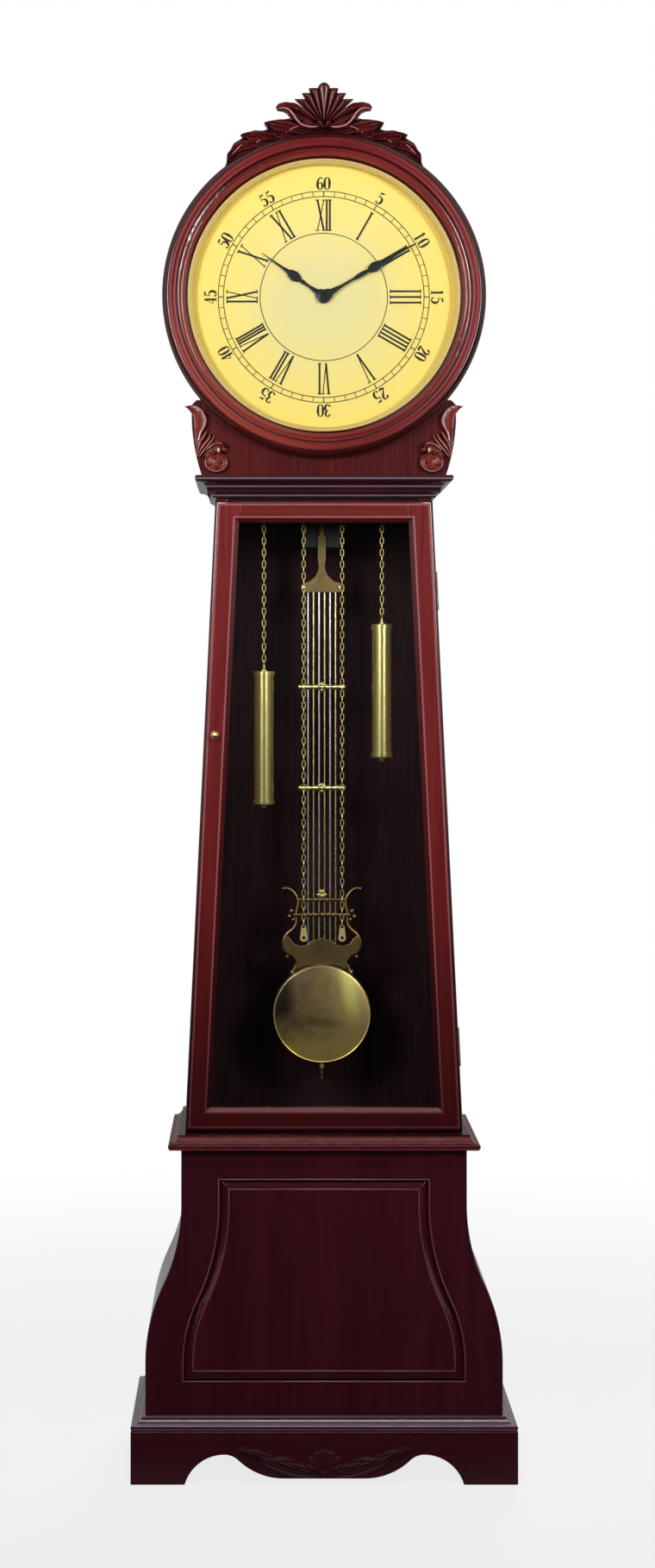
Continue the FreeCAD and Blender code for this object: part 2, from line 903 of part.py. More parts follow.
def make_head():
    neck_top = cornice_top + neck_height
    shoulder = neck_top + shoulder_rise
    join = math.sqrt(head_radius ** 2 - (head_z - shoulder) ** 2)
    middle = ((neck_half_low + neck_half_high) / 2 + neck_bow, (cornice_top + neck_top) / 2)
    right = [((0.0, cornice_top), (neck_half_low, cornice_top))]
    right += [((neck_half_low, cornice_top), middle, (neck_half_high, neck_top))]
    ear = (neck_half_high - shoulder_rise, shoulder)
    right += polyline([(neck_half_high, neck_top), ear, (join, shoulder)])
    right += [((join, shoulder), (head_radius, head_z), (0.0, head_z + head_radius))]
    opening = ring_bore + board_margin
    front = solid_of(both_sides(right), y_head, y_head_back)
    save("hood_front_board", front.cut(cylinder_y(0, head_z, opening, y_head, y_head_back)))

    def drum_side(inset):
        half = drum_half - inset
        radius = drum_radius - inset
        spring = head_z - math.sqrt(radius ** 2 - half ** 2)
        line = [((half, cornice_top), (half, spring))]
        return line + [((half, spring), (radius, head_z), (0.0, head_z + radius))]

    whole = solid_of(both_sides([((0.0, cornice_top), (drum_half, cornice_top))] + drum_side(0.0)),
                     y_head_back, y_inner_back)
    inner_half = drum_half - drum_wall
    hollow = solid_of(both_sides([((0.0, cornice_top), (inner_half, cornice_top))] + drum_side(drum_wall)),
                      y_head_back, y_inner_back)
    save("hood_drum", whole.cut(hollow))
    cover = solid_of(both_sides([((0.0, cornice_top), (drum_half, cornice_top))] + drum_side(0.0)),
                     y_inner_back, y_back)
    save("hood_back_cover", cover)


def make_bezel():
    # Turned section: an outer round, two fillets, a hollow, a bead and a cove to the sight edge.
    b = ring_bore

    def at(radius, height):
        return (radius, y_head - height)

    side = at(ring_outer, ring_side_high)
    crown = at(ring_outer - ring_round, ring_height)
    rim = crown[0] - ring_crown
    step = rim - ring_step
    step_height = ring_height - ring_drop
    hollow = at(step - ring_fillet, step_height - ring_drop)
    bead = (hollow[0] - ring_hollow, hollow[1] + ring_hollow_depth)
    cove = (bead[0] - ring_bead, bead[1] + ring_bead_fall)
    sight_top = at(b, ring_cove_height)
    profile = polyline([at(b, 0.0), at(ring_outer - ring_foot, 0.0), at(ring_outer, ring_side_low), side])
    profile += [bowed(side, crown, ring_round_bow)]
    profile += polyline([crown, at(rim, ring_height), at(rim, step_height), at(step, step_height)])
    profile += polyline([at(step, step_height), (step, hollow[1]), hollow])
    profile += [bowed(hollow, bead, -ring_hollow_bow), bowed(bead, cove, ring_bead_bow)]
    profile += [bowed(cove, sight_top, -ring_cove_bow), (sight_top, at(b, 0.0))]
    save("bezel_ring", revolve_y(profile, 0.0, head_z))
    outer = b - fit_gap
    glass_front = y_glass - dial_glass_thick
    rim_front = glass_front - sight_rim
    sight = polyline(
        [
            (sight_inner, glass_front),
            (outer, glass_front),
            (outer, rim_front),
            (outer - sight_land, rim_front),
            (sight_inner, glass_front - sight_edge),
            (sight_inner, glass_front),
        ]
    )
    save("sight_ring", revolve_y(sight, 0.0, head_z))
    save("dial_glass", cylinder_y(0, head_z, outer, glass_front, y_glass))
    spacer = cylinder_y(0, head_z, outer, y_glass, y_dial)
    save("dial_spacer", spacer.cut(cylinder_y(0, head_z, sight_inner, y_glass, y_dial)))
    plate = cylinder_y(0, head_z, b + board_margin - fit_gap, y_dial, y_head_back)
    flange_radius = drum_radius - drum_wall - fit_gap
    flange = cylinder_y(0, head_z, flange_radius, y_head_back, y_dial_back)
    hole = cylinder_y(0, head_z, bush_radius + fit_gap, y_dial, y_dial_back)
    save("dial_plate", fused([plate, flange]).cut(hole))


def make_movement():
    y0 = y_dial_back
    y1 = y0 + movement_depth
    low = head_z - movement_half - 2 * battery_radius
    case = box(-movement_half, movement_half, y0, y1, low, head_z + movement_half)
    battery_z = low + 1.5 * battery_radius
    battery_y = y1 - battery_radius - battery_wall
    room = battery_radius + fit_gap
    half = battery_length / 2
    pocket = Part.makeCylinder(room, battery_length + 2 * fit_gap,
                               V(-half - fit_gap, battery_y, battery_z), V(1, 0, 0))
    slot = box(-half - fit_gap, half + fit_gap, battery_y, y1, battery_z - room, battery_z + room)
    bore_radius = tube_radius + tube_clearance
    bore = cylinder_y(0, head_z, bore_radius, y0, y0 + movement_depth / 2)
    save("movement_case", case.cut(pocket).cut(slot).cut(bore))
    save("movement_battery", Part.makeCylinder(battery_radius, battery_length,
                                               V(-half, battery_y, battery_z), V(1, 0, 0)))
    bush_front = y_dial - bush_stand
    bush = cylinder_y(0, head_z, bush_radius, bush_front, y0)
    bush = bush.cut(cylinder_y(0, head_z, bore_radius, bush_front, y0))
    flats = []
    for i in range(6):
        angle = math.radians(60 * i)
        flats.append((nut_radius * math.cos(angle), head_z + nut_radius * math.sin(angle)))
    nut = solid_of(closed(flats), y_dial - nut_thick, y_dial)
    nut = nut.cut(cylinder_y(0, head_z, bush_radius + hand_fit, y_dial - nut_thick, y_dial))
    save("movement_bush", group([bush, nut]))


def hand_blade(length, bulge, bulge_half, bore, y0):
    # Drawn pointing up at twelve: round hub, slim stem, spade and a long point.
    y1 = y0 + hand_thick
    stem = hand_stem
    hub = cylinder_y(0, 0, hub_radius, y0, y1)
    shaft = solid_of(closed([(-hand_root, 0.0), (hand_root, 0.0), (stem, bulge), (-stem, bulge)]), y0, y1)
    base = (0.0, bulge * (1 - spade_low))
    top = (0.0, bulge * (1 + spade_high))
    spade = [(base, (bulge_half, bulge), top), (top, (-bulge_half, bulge), base)]
    tip = [(-stem, bulge), (stem, bulge), (hand_tip, length), (-hand_tip, length)]
    point = solid_of(closed(tip), y0, y1)
    blade = fused([hub, shaft, solid_of(spade, y0, y1), point])
    return blade.cut(cylinder_y(0, 0, bore, y0, y1))


def make_hands():
    def set_to(shape, angle):
        shape.rotate(V(0, 0, 0), V(0, 1, 0), angle)
        shape.translate(V(0, 0, head_z))
        return shape

    hour_y = y_dial - hour_hand_out - hand_thick
    minute_y = y_dial - minute_hand_out - hand_thick
    tube_hole = tube_radius + hand_fit
    arbor_hole = arbor_radius + hand_fit
    hour = set_to(hand_blade(hour_length, hour_bulge, hour_bulge_half, tube_hole, hour_y), hour_angle)
    minute_blade = hand_blade(minute_length, minute_bulge, minute_bulge_half, arbor_hole, minute_y)
    minute = set_to(minute_blade, minute_angle)
    tube_back = y_dial_back + movement_depth / 3
    tube_front = hour_y - hand_thick / 2
    tube = cylinder_y(0, head_z, tube_radius, tube_front, tube_back)
    tube = tube.cut(cylinder_y(0, head_z, arbor_radius + tube_clearance, tube_front, tube_back))
    save("hour_hand", group([hour, tube]))
    nut_front = minute_y - hand_nut_height
    arbor = cylinder_y(0, head_z, arbor_radius, minute_y - hand_nut_height / 2, tube_back)
    nut = cylinder_y(0, head_z, hand_nut_radius, nut_front, minute_y)
    rounded = [e for e in nut.Edges if abs(e.CenterOfMass.y - nut_front) < 0.01]
    nut = nut.makeFillet(hand_nut_height / 3, rounded)
    nut = nut.cut(cylinder_y(0, head_z, arbor_hole, minute_y - hand_nut_height / 2, minute_y))
    save("minute_hand", group([minute, arbor, nut]))


# Carving on the head


def make_crest():
    y0 = y_head - crest_back - crest_thick
    y1 = y_head - crest_back
    seat = ring_outer + fit_gap
    band = cylinder_y(0, 0, seat + crest_band, y0, y1)
    spread = math.radians(crest_spread)
    far = 2 * ring_outer

    def wedge(half):
        side = far * math.sin(half)
        top = far * math.cos(half)
        return solid_of(closed([(0.0, 0.0), (side, top), (-side, top)]), y0, y1)

    parts = [band.common(wedge(spread))]
    hub = seat + shell_hub
    back = cylinder_y(0, 0, shell_reach, y0, y1).common(wedge(math.radians(shell_fan / 2)))
    back.translate(V(0, 0, hub))
    parts.append(back)
    for i in range(shell_ribs):
        angle = math.radians(shell_fan * (i / (shell_ribs - 1) - 0.5))
        end = (shell_reach * math.sin(angle), y0, hub + shell_reach * math.cos(angle))
        parts.append(rib((0.0, y0, hub), end, shell_root, shell_tip))
    curl = horn(
        [(16, y0, seat + 14), (34, y0, seat + 27), (49, y0, seat + 33), (60, y0, seat + 31)],
        [6.0, 6.6, 5.4, 1.8],
    )
    leaf = horn(
        [(22, y0, seat + 6), (46, y0, seat + 9), (62, y0, seat + 10.5), (75, y0, seat + 13)],
        [6.0, 6.4, 5.0, 1.6],
    )
    wing = horn(
        [(58, y0, seat), (78, y0, seat - 7), (94, y0, seat - 7), (106, y0, seat - 3.5)],
        [6.4, 6.6, 5.2, 1.6],
    )
    for piece in (curl, leaf, wing):
        parts += [piece, mirrored(piece)]
    crest = fused(parts)
    behind = box(-far, far, y1, y1 + far, 0, far)
    crest = crest.cut(cylinder_y(0, 0, seat, y0 - far, y1 + far)).cut(behind)
    crest.translate(V(0, 0, head_z))
    save("crest_carving", crest)


def make_corners():
    # A leaf that leans along the neck's edge and ends below in a fluted scroll.
    y = y_head
    out = neck_half_high
    top = cornice_top + neck_height
    ball_x = neck_half_low - corner_ball_inset
    ball_z = cornice_top + corner_ball + corner_ball_lift
    leaf = horn(
        [
            (out + 7, y - 3, top - 4),
            (out - 3, y - 2, top - 7),
            (out - 7, y - 2, top - 22),
            (out - 8, y - 1, top - 42),
            (out - 16, y - 1, top - 64),
        ],
        [1.4, 5.0, 7.4, 6.6, 4.4],
    )
    parts = [leaf, Part.makeSphere(corner_ball, V(ball_x, y + corner_ball_sink, ball_z))]
    for i in range(corner_ribs):
        angle = math.radians(corner_rib_first + corner_rib_step * i)
        end_x = ball_x + corner_rib_reach * math.cos(angle)
        end_z = ball_z + corner_rib_reach * math.sin(angle)
        parts.append(rib((ball_x, y, ball_z), (end_x, y, end_z), corner_rib_root, corner_rib_tip))
    carving = fused(parts)
    front = box(0, 2 * out, y - 2 * board, y, cornice_top, head_z)
    carving = carving.common(front)
    carving = carving.cut(cylinder_y(0, head_z, ring_outer + fit_gap, y - 3 * board, y + board))
    solid = max(carving.Solids, key=lambda s: s.Volume)
    save("corner_carvings", group([solid, mirrored(solid)]))


# Pendulum


def make_pendulum():
    y = y_pendulum
    drive_low = trunk_high - trunk_top - drive_drop
    drive_y = y + leader_thick + drive_gap
    drive = box(-drive_half, drive_half, drive_y, drive_y + drive_depth, drive_low, trunk_high - trunk_top)
    pin = cylinder_y(0, pivot_z, pivot_radius, y - leader_thick, drive_y)
    save("pendulum_drive", fused([drive, pin]))

    leader_top = pivot_z - leader_drop
    eye_radius = strip_width / 2
    strip = box(-strip_width / 2, strip_width / 2, y - strip_thick, y, leader_top - leader_drop, pivot_z)
    strip = fused([strip, cylinder_y(0, pivot_z, eye_radius, y - strip_thick, y)])
    strip = strip.cut(cylinder_y(0, pivot_z, pivot_radius + pivot_clearance, y - strip_thick, y))
    save("suspension_strip", strip)

    half = leader_half
    foot = leader_foot_half
    foot_top = leader_low + leader_foot
    bell_top = foot_top + leader_bell
    right = [((0.0, leader_low), (foot, leader_low)), ((foot, leader_low), (foot, foot_top))]
    right += [bowed((foot, foot_top), (half, bell_top), leader_bell_bow)]
    right += polyline([(half, bell_top), (half, leader_top), (0.0, leader_top)])
    save("pendulum_leader", solid_of(both_sides(right), y, y + leader_thick))

    steel = []
    brass = []
    for i in range(rod_count):
        x = (i - (rod_count - 1) / 2) * rod_pitch
        rod = cylinder_z(x, y + leader_thick / 2, rod_radius, rod_low, leader_low)
        (brass if i % 2 else steel).append(rod)
    save("pendulum_steel_rods", group(steel))
    save("pendulum_brass_rods", group(brass))

    rod_y = y + leader_thick / 2
    holes = [cylinder_z((i - (rod_count - 1) / 2) * rod_pitch, rod_y, rod_radius + hand_fit, 0, trunk_high)
             for i in range(rod_count)]

    def drilled(shape):
        for hole in holes:
            shape = shape.cut(hole)
        return shape

    bars = []
    for drop in (crossbar_first, crossbar_second):
        z = pivot_z - drop
        y0 = rod_y - crossbar_thick / 2
        y1 = rod_y + crossbar_thick / 2
        bar = box(-crossbar_half, crossbar_half, y0, y1, z - crossbar_height / 2, z + crossbar_height / 2)
        pieces = [bar, cylinder_y(0, z, crossbar_rosette, y0, y1)]
        for side in (-1, 1):
            pieces.append(Part.makeSphere(crossbar_knob, V(side * crossbar_half, rod_y, z)))
        bars.append(drilled(fused(pieces)))
    save("pendulum_crossbars", group(bars))
    make_lyre(drilled)
    make_bob()


def ribbon(points, halves, y0, y1):
    # A flat strip along a smooth line, with its own half width at each point.
    curve = Part.BSplineCurve()
    curve.interpolate([V(x, y0, z) for x, z in points])
    sides = ([], [])
    for (x, z), half in zip(points, halves):
        way = curve.tangent(curve.parameter(V(x, y0, z)))[0]
        normal = V(-way.z, 0, way.x).normalize()
        sides[0].append(V(x, y0, z) + normal * half)
        sides[1].append(V(x, y0, z) - normal * half)
    edges = []
    for side in sides:
        line = Part.BSplineCurve()
        line.interpolate(side)
        edges.append(line.toShape())
    for end in (0, -1):
        edges.append(Part.LineSegment(sides[0][end], sides[1][end]).toShape())
    face = Part.Face(Part.Wire(Part.__sortEdges__(edges)))
    return face.extrude(V(0, y1 - y0, 0))


def make_lyre(drilled):
    # Two curled arms stand on a solid shoulder, tied by two bars, above the bob.
    rod_y = y_pendulum + leader_thick / 2
    y0 = rod_y - lyre_thick / 2
    y1 = rod_y + lyre_thick / 2
    z = lyre_z
    w = lyre_half
    foot = (lyre_foot_half, z - lyre_foot)
    hip = (w - 12, z - 8)
    tip = (w, z + 1)
    lap = (w / 2, z + 3)
    right = [((0.0, foot[1]), foot), bowed(foot, hip, -lyre_foot_bow), bowed(hip, tip, -lyre_hip_bow)]
    right += [bowed(tip, lap, -lyre_lap_bow), bowed(lap, (0.0, z + 6), lyre_dip_bow)]
    parts = [solid_of(both_sides(right), y0, y1)]
    arm = ribbon(
        [(48, z + 1), (43, z + 16), (33, z + 32), (31, z + 52), (39, z + 67), (46, z + 72)],
        [3.6, 3.8, 3.4, 3.0, 2.4, 0.8],
        y0,
        y1,
    )
    volute = cylinder_y(42, z + 36, 4.2, y0, y1)
    neck = ribbon([(20, z - 20), (29, z - 26), (36, z - 33)], [4.0, 2.8, 1.6], y0, y1)
    curl = cylinder_y(38, z - 34, 4.0, y0, y1)
    for piece in (arm, volute, neck, curl):
        parts += [piece, mirrored(piece)]
    parts.append(box(-43, 43, y0, y1, z + 33, z + 38))
    parts.append(box(-31, 31, y0, y1, z + 55, z + 59))
    finial = [((0.0, z + 58), (6.0, z + 62), (0.0, z + 71)), ((0.0, z + 71), (-6.0, z + 62), (0.0, z + 58))]
    parts.append(solid_of(finial, y0, y1))
    save("pendulum_lyre", drilled(fused(parts)))


def make_bob():
    # A lens with a raised rim, hung by a tongue behind the foot of the lyre.
    y = y_pendulum + leader_thick / 2
    z = bob_z
    r = bob_radius
    back = y + bob_depth
    front = y - bob_depth
    rim = r - bob_rim
    edge = bob_rim / 2
    step = front + bob_step
    profile = [dome(r - edge, y + edge, back)]
    profile += [((r - edge, y + edge), (r, y), (r - edge, y - edge))]
    profile += polyline([(r - edge, y - edge), (rim, step - bob_lip), (rim - bob_groove, step)])
    profile += [dome(rim - bob_groove, step, front), ((0.0, front), (0.0, back))]
    bob = revolve_y(profile, 0.0, z)
    rating_top = z - r + rating_rod_seat
    rating_low = z - r - rating_rod_length
    bob = bob.cut(cylinder_z(0, y, rating_rod_radius + hand_fit, rating_low, rating_top))
    tongue_top = lyre_z - lyre_foot
    half = lyre_thick / 2
    tongue = box(-tongue_half, tongue_half, y - half, y + half, z + r - tongue_lap, tongue_top)
    save("pendulum_bob", fused([bob, tongue]))
    rod = cylinder_z(0, y, rating_rod_radius, rating_low, rating_top)
    nut_top = z - r - rating_nut_gap
    nut = cylinder_z(0, y, rating_nut_radius, nut_top - rating_nut_height, nut_top)
    nut = nut.cut(cylinder_z(0, y, rating_rod_radius + hand_fit, rating_low, rating_top))
    save("rating_nut", group([rod, nut]))


# Weights and chains


def make_link():
    # One oval wire link in the XZ plane about the origin, drawn with eight flats.
    def oval(inset, corner):
        half = link_width / 2 - inset
        reach = link_reach() + link_wire - inset
        top = [(half, reach - corner), (half - corner, reach)]
        right = [(x, -z) for x, z in reversed(top)] + top
        return right + [(-x, z) for x, z in reversed(right)]

    wire = 2 * link_wire
    inner_corner = link_corner - 2 * wire * quarter_bow
    outer = solid_of(closed(oval(0.0, link_corner)), -link_wire, link_wire)
    return outer.cut(solid_of(closed(oval(wire, inner_corner)), -link_wire, link_wire))


def chain(x, count):
    # Links hang from the hook, each turned square to the one above.
    facing = make_link()
    turned = facing.copy()
    turned.rotate(V(0, 0, 0), V(0, 0, 1), 90)
    links = []
    first = hook_seat() + hook_wire + link_wire + chain_seat - link_reach()
    for i in range(count):
        link = (facing if i % 2 else turned).copy()
        link.translate(V(x, y_chain, first - i * link_pitch))
        links.append(link)
    return links


def link_reach():
    # From the middle of a link to the middle of the wire at its end.
    return (link_pitch + 2 * link_wire + link_gap) / 2


def hook_seat():
    # Height of the hook's wire where the first link rests.
    return trunk_high - trunk_top - hook_shank - 2 * hook_radius


def chain_end(count):
    # Height of the middle of the wire at the foot of the last link.
    first = hook_seat() + hook_wire + link_wire + chain_seat - link_reach()
    return first - (count - 1) * link_pitch - link_reach()


def make_hooks():
    # A shank from the top board, then three quarters of a ring that opens upwards at the right.
    hooks = []
    top = trunk_high - trunk_top
    centre = hook_seat() + hook_radius
    for x in (-weight_x, -pull_x, pull_x, weight_x):
        shank = cylinder_z(x, y_chain, hook_wire, centre + hook_radius - hook_wire, top)
        start = V(x, y_chain, centre + hook_radius)
        section = Part.Face(Part.Wire(Part.makeCircle(hook_wire, start, V(1, 0, 0))))
        bow = section.revolve(V(x, y_chain, centre), V(0, -1, 0), 270)
        hooks.append(fused([shank, bow]))
    save("chain_hooks", group(hooks))


def make_weight(name, x, count):
    y = y_chain
    eye_wire = hook_wire
    eye_top = chain_end(count) + link_wire + eye_wire + chain_seat
    eye_centre = eye_top - weight_eye
    top = eye_centre - weight_eye - weight_stem
    low = top - weight_length
    r = weight_cap_radius
    h = weight_cap_height
    w = weight_radius
    eye = Part.makeTorus(weight_eye, eye_wire, V(x, y, eye_centre), V(1, 0, 0))
    stem_top = eye_centre - weight_eye
    stem = weight_stem_radius
    collar = weight_collar
    spigot = w - weight_wall - hand_fit
    edge = r - weight_round
    round_bow = weight_round * quarter_bow
    shoulder = top - h
    collar_top = top + weight_collar_height
    plug = shoulder - weight_spigot
    profile = polyline([(0.0, plug), (spigot, plug), (spigot, shoulder)])
    profile += polyline([(spigot, shoulder), (r, shoulder), (r, top - weight_round)])
    profile += [bowed((r, top - weight_round), (edge, top), -round_bow)]
    profile += polyline([(edge, top), (collar, top), (collar, collar_top)])
    profile += polyline([(collar, collar_top), (stem, collar_top + weight_collar_slope), (stem, stem_top)])
    profile += polyline([(stem, stem_top), (0.0, stem_top), (0.0, plug)])
    cap = fused([revolve_z(profile, x, y), eye])
    foot = low + h
    profile = polyline([(0.0, foot + weight_spigot), (spigot, foot + weight_spigot), (spigot, foot)])
    profile += polyline([(spigot, foot), (r, foot), (r, low + weight_round)])
    profile += [bowed((r, low + weight_round), (edge, low), round_bow), ((edge, low), (collar, low))]
    profile += [dome(collar, low, low - weight_finial)]
    profile += polyline([(0.0, low - weight_finial), (0.0, foot + weight_spigot)])
    base = revolve_z(profile, x, y)
    tube = cylinder_z(x, y, w, foot, shoulder)
    tube = tube.cut(cylinder_z(x, y, w - weight_wall, foot, shoulder))
    save(name, group([cap, tube, base]))
    save(name + "_chain", group(chain(x, count)))


def make_pull(name, x):
    # A chain that ends in a flat pear tag with two holes.
    y0 = y_chain - tag_thick / 2
    y1 = y_chain + tag_thick / 2
    hole_z = chain_end(pull_links) + link_wire + tag_seat - tag_hole
    low_z = hole_z + tag_half_top - tag_height + tag_half_low
    pear = [
        ((-tag_half_top, hole_z), (0.0, hole_z + tag_half_top), (tag_half_top, hole_z)),
        ((tag_half_top, hole_z), (tag_half_low, low_z)),
        ((tag_half_low, low_z), (0.0, low_z - tag_half_low), (-tag_half_low, low_z)),
        ((-tag_half_low, low_z), (-tag_half_top, hole_z)),
    ]
    tag = solid_of(pear, y0, y1)
    tag = tag.cut(cylinder_y(0, hole_z, tag_hole, y0, y1)).cut(cylinder_y(0, low_z, tag_eye, y0, y1))
    tag.translate(V(x, 0, 0))
    save(name, group(chain(x, pull_links) + [tag]))


def main():
    os.makedirs("parts", exist_ok=True)
    make_plinth()
    make_apron_carving()
    make_base()
    make_waist()
    make_trunk()
    make_hinges()
    make_door()
    make_cornice()
    make_head()
    make_bezel()
    make_movement()
    make_hands()
    make_crest()
    make_corners()
    make_pendulum()
    make_hooks()
    make_weight("left_weight", -weight_x, left_links)
    make_weight("right_weight", weight_x, right_links)
    make_pull("left_pull_chain", -pull_x)
    make_pull("right_pull_chain", pull_x)


main()
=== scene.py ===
import bpy
import json
import math
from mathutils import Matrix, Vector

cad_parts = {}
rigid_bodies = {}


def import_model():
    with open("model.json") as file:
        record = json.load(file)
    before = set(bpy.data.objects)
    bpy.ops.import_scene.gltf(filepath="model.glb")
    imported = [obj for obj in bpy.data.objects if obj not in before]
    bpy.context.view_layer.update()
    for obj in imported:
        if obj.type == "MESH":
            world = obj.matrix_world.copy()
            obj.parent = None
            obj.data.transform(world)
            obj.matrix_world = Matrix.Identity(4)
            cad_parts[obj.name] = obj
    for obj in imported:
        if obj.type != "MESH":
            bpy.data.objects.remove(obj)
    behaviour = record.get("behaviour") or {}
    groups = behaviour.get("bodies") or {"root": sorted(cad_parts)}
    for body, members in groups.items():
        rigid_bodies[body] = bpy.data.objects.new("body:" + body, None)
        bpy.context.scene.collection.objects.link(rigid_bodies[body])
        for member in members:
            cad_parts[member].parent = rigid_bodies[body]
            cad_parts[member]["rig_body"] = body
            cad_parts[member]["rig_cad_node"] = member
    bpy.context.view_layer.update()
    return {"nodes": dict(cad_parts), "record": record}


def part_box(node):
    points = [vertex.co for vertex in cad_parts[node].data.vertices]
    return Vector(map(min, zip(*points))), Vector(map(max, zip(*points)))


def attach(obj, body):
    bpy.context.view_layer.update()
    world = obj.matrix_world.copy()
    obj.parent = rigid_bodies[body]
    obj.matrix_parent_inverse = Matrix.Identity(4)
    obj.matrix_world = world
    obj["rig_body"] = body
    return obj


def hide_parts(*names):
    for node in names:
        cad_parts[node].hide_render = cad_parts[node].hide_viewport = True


# Longcase clock: lacquered case, gold dial, brass pendulum and weights
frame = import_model()
nodes = frame["nodes"]
record = frame["record"]
bodyOf = {n: b for b, members in record["behaviour"]["bodies"].items() for n in members}
slotOf = {s["node"]: s["material_slot"] for s in record["subparts"]}
mm = 0.001


def spot(node):
    low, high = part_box(node)
    return (low + high) / 2


ringMid = spot("bezel_ring")  # middle of the dial, x and z
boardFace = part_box("hood_front_board")[0].y
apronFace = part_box("plinth_apron")[0].y
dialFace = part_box("dial_plate")[0].y
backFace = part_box("trunk_back_panel")[1].y
bobRadius = 65.4 * mm
bobMid = (0.0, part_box("pendulum_bob")[0].z + bobRadius)
print("frame loaded:", len(nodes), "nodes")


# shader sums

class Wire:
    def __init__(self, look, socket):
        self.look = look
        self.socket = socket

    def sum(self, operation, first, second=0.0):
        return self.look.node("ShaderNodeMath", {"operation": operation}, {0: first, 1: second})

    def __add__(self, other):
        return self.sum("ADD", self, other)

    def __radd__(self, other):
        return self.sum("ADD", other, self)

    def __sub__(self, other):
        return self.sum("SUBTRACT", self, other)

    def __rsub__(self, other):
        return self.sum("SUBTRACT", other, self)

    def __mul__(self, other):
        return self.sum("MULTIPLY", self, other)

    def __rmul__(self, other):
        return self.sum("MULTIPLY", other, self)

    def __truediv__(self, other):
        return self.sum("DIVIDE", self, other)

    def __pow__(self, other):
        return self.sum("POWER", self, other)

    def size(self):
        return self.sum("ABSOLUTE", self)

    def least(self, other):
        return self.sum("MINIMUM", self, other)

    def most(self, other):
        return self.sum("MAXIMUM", self, other)

    def ramp(self, low, high):
        sockets = {"Value": self, "From Min": low, "From Max": high}
        return self.look.node("ShaderNodeMapRange", {"interpolation_type": "SMOOTHSTEP"}, sockets)


class Look:
    def __init__(self, name, world=None):
        self.owner = world or bpy.data.materials.new(name)
        self.owner.use_nodes = True
        self.tree = self.owner.node_tree
        self.tree.nodes.clear()

    def node(self, kind, settings, sockets, out=0):
        made = self.tree.nodes.new(kind)
        for key, value in settings.items():
            setattr(made, key, value)
        for key, value in sockets.items():
            if isinstance(value, Wire):
                self.tree.links.new(value.socket, made.inputs[key])
            else:  # a tuple is a colour
                made.inputs[key].default_value = (*value, 1.0) if isinstance(value, tuple) else value
        return Wire(self, made.outputs[out])

    def place(self):
        return self.node("ShaderNodeTexCoord", {}, {}, "Object")

    def xyz(self):
        made = self.node("ShaderNodeSeparateXYZ", {}, {0: self.place()})
        return [Wire(self, out) for out in made.socket.node.outputs]

    def vector(self, x, y, z):
        return self.node("ShaderNodeCombineXYZ", {}, {0: x, 1: y, 2: z})

    def noise(self, vector, scale, detail=3.0, distortion=0.0):
        sockets = {"Vector": vector, "Scale": scale, "Detail": detail, "Distortion": distortion}
        return self.node("ShaderNodeTexNoise", {}, sockets)

    def blend(self, factor, first, second):
        settings = {"data_type": "RGBA"}
        return self.node("ShaderNodeMix", settings, {0: factor, 6: first, 7: second}, 2)

    def bump(self, height, strength, distance):
        sockets = {"Height": height, "Strength": strength, "Distance": distance}
        return self.node("ShaderNodeBump", {}, sockets)

    def cavity(self, reach):
        return self.node("ShaderNodeAmbientOcclusion", {"samples": 8}, {"Distance": reach}, "AO")

    def surface(self, sockets):
        shader = self.node("ShaderNodeBsdfPrincipled", {}, sockets)
        return self.finish(shader)

    def finish(self, shader, output="ShaderNodeOutputMaterial"):
        end = self.tree.nodes.new(output)
        self.tree.links.new(shader.socket, end.inputs["Surface"])
        return self.owner


# lacquered wood

lacquer = {
    "figure": 230.0,  # streaks per metre across the grain
    "pores": 1500.0,
    "stretch": 0.035,  # along the grain against across it
    "rough": 0.21,
    "gloss": 0.5,
    "coat": 0.3,
    # near-black painted where shade falls: in cuts, grooves, reveals and on rims turned from the light
    "paintedShade": (0.010, 0.0012, 0.0018),
}
stainsAndPaintedLight = {
    # shadow, body and bright streak of each stain; the neck and cornice tones are darker as painted shade,
    # the base tone is darker as painted shade low on the case and also more purple, and the lip and bead
    # tones are pale as painted highlights
    "trunk": [(0.134, 0.0115, 0.0122), (0.186, 0.0154, 0.0158), (0.235, 0.0235, 0.0214)],
    "ring": [(0.110, 0.0090, 0.0094), (0.178, 0.0138, 0.0134), (0.270, 0.0290, 0.0225)],
    # neck: darker as painted shade under the ring
    "neck": [(0.058, 0.0046, 0.0054), (0.080, 0.0064, 0.0070), (0.108, 0.0098, 0.0092)],
    "ledge": [(0.068, 0.0060, 0.0090), (0.086, 0.0080, 0.0115), (0.110, 0.0110, 0.0140)],
    # base: darker as painted shade low on the case, and more purple
    "base": [(0.051, 0.0056, 0.0122), (0.065, 0.0071, 0.0148), (0.084, 0.0098, 0.0172)],
    # cornice: darker as painted shade on the moulding's underside
    "cornice": [(0.018, 0.0030, 0.0058), (0.026, 0.0042, 0.0080), (0.034, 0.0058, 0.0095)],
    "crest": [(0.050, 0.0042, 0.0050), (0.085, 0.0075, 0.0076), (0.150, 0.0180, 0.0130)],
    "corner": [(0.100, 0.0090, 0.0070), (0.220, 0.0230, 0.0140), (0.400, 0.0800, 0.0320)],
    # lip: pale as painted highlights on rolled edges
    "lip": [(0.360, 0.1100, 0.1000), (0.400, 0.1300, 0.1250), (0.470, 0.1700, 0.1600)],
    # bead: pale as painted highlight lines
    "beadHighlight": [(0.200, 0.0420, 0.0330), (0.240, 0.0520, 0.0400), (0.280, 0.0640, 0.0500)],
}


def fromDial(look):
    # x, z and radius from the dial's middle
    x, y, z = look.xyz()
    dx = x - ringMid.x
    dz = z - ringMid.z
    return dx, dz, (dx * dx + dz * dz) ** 0.5


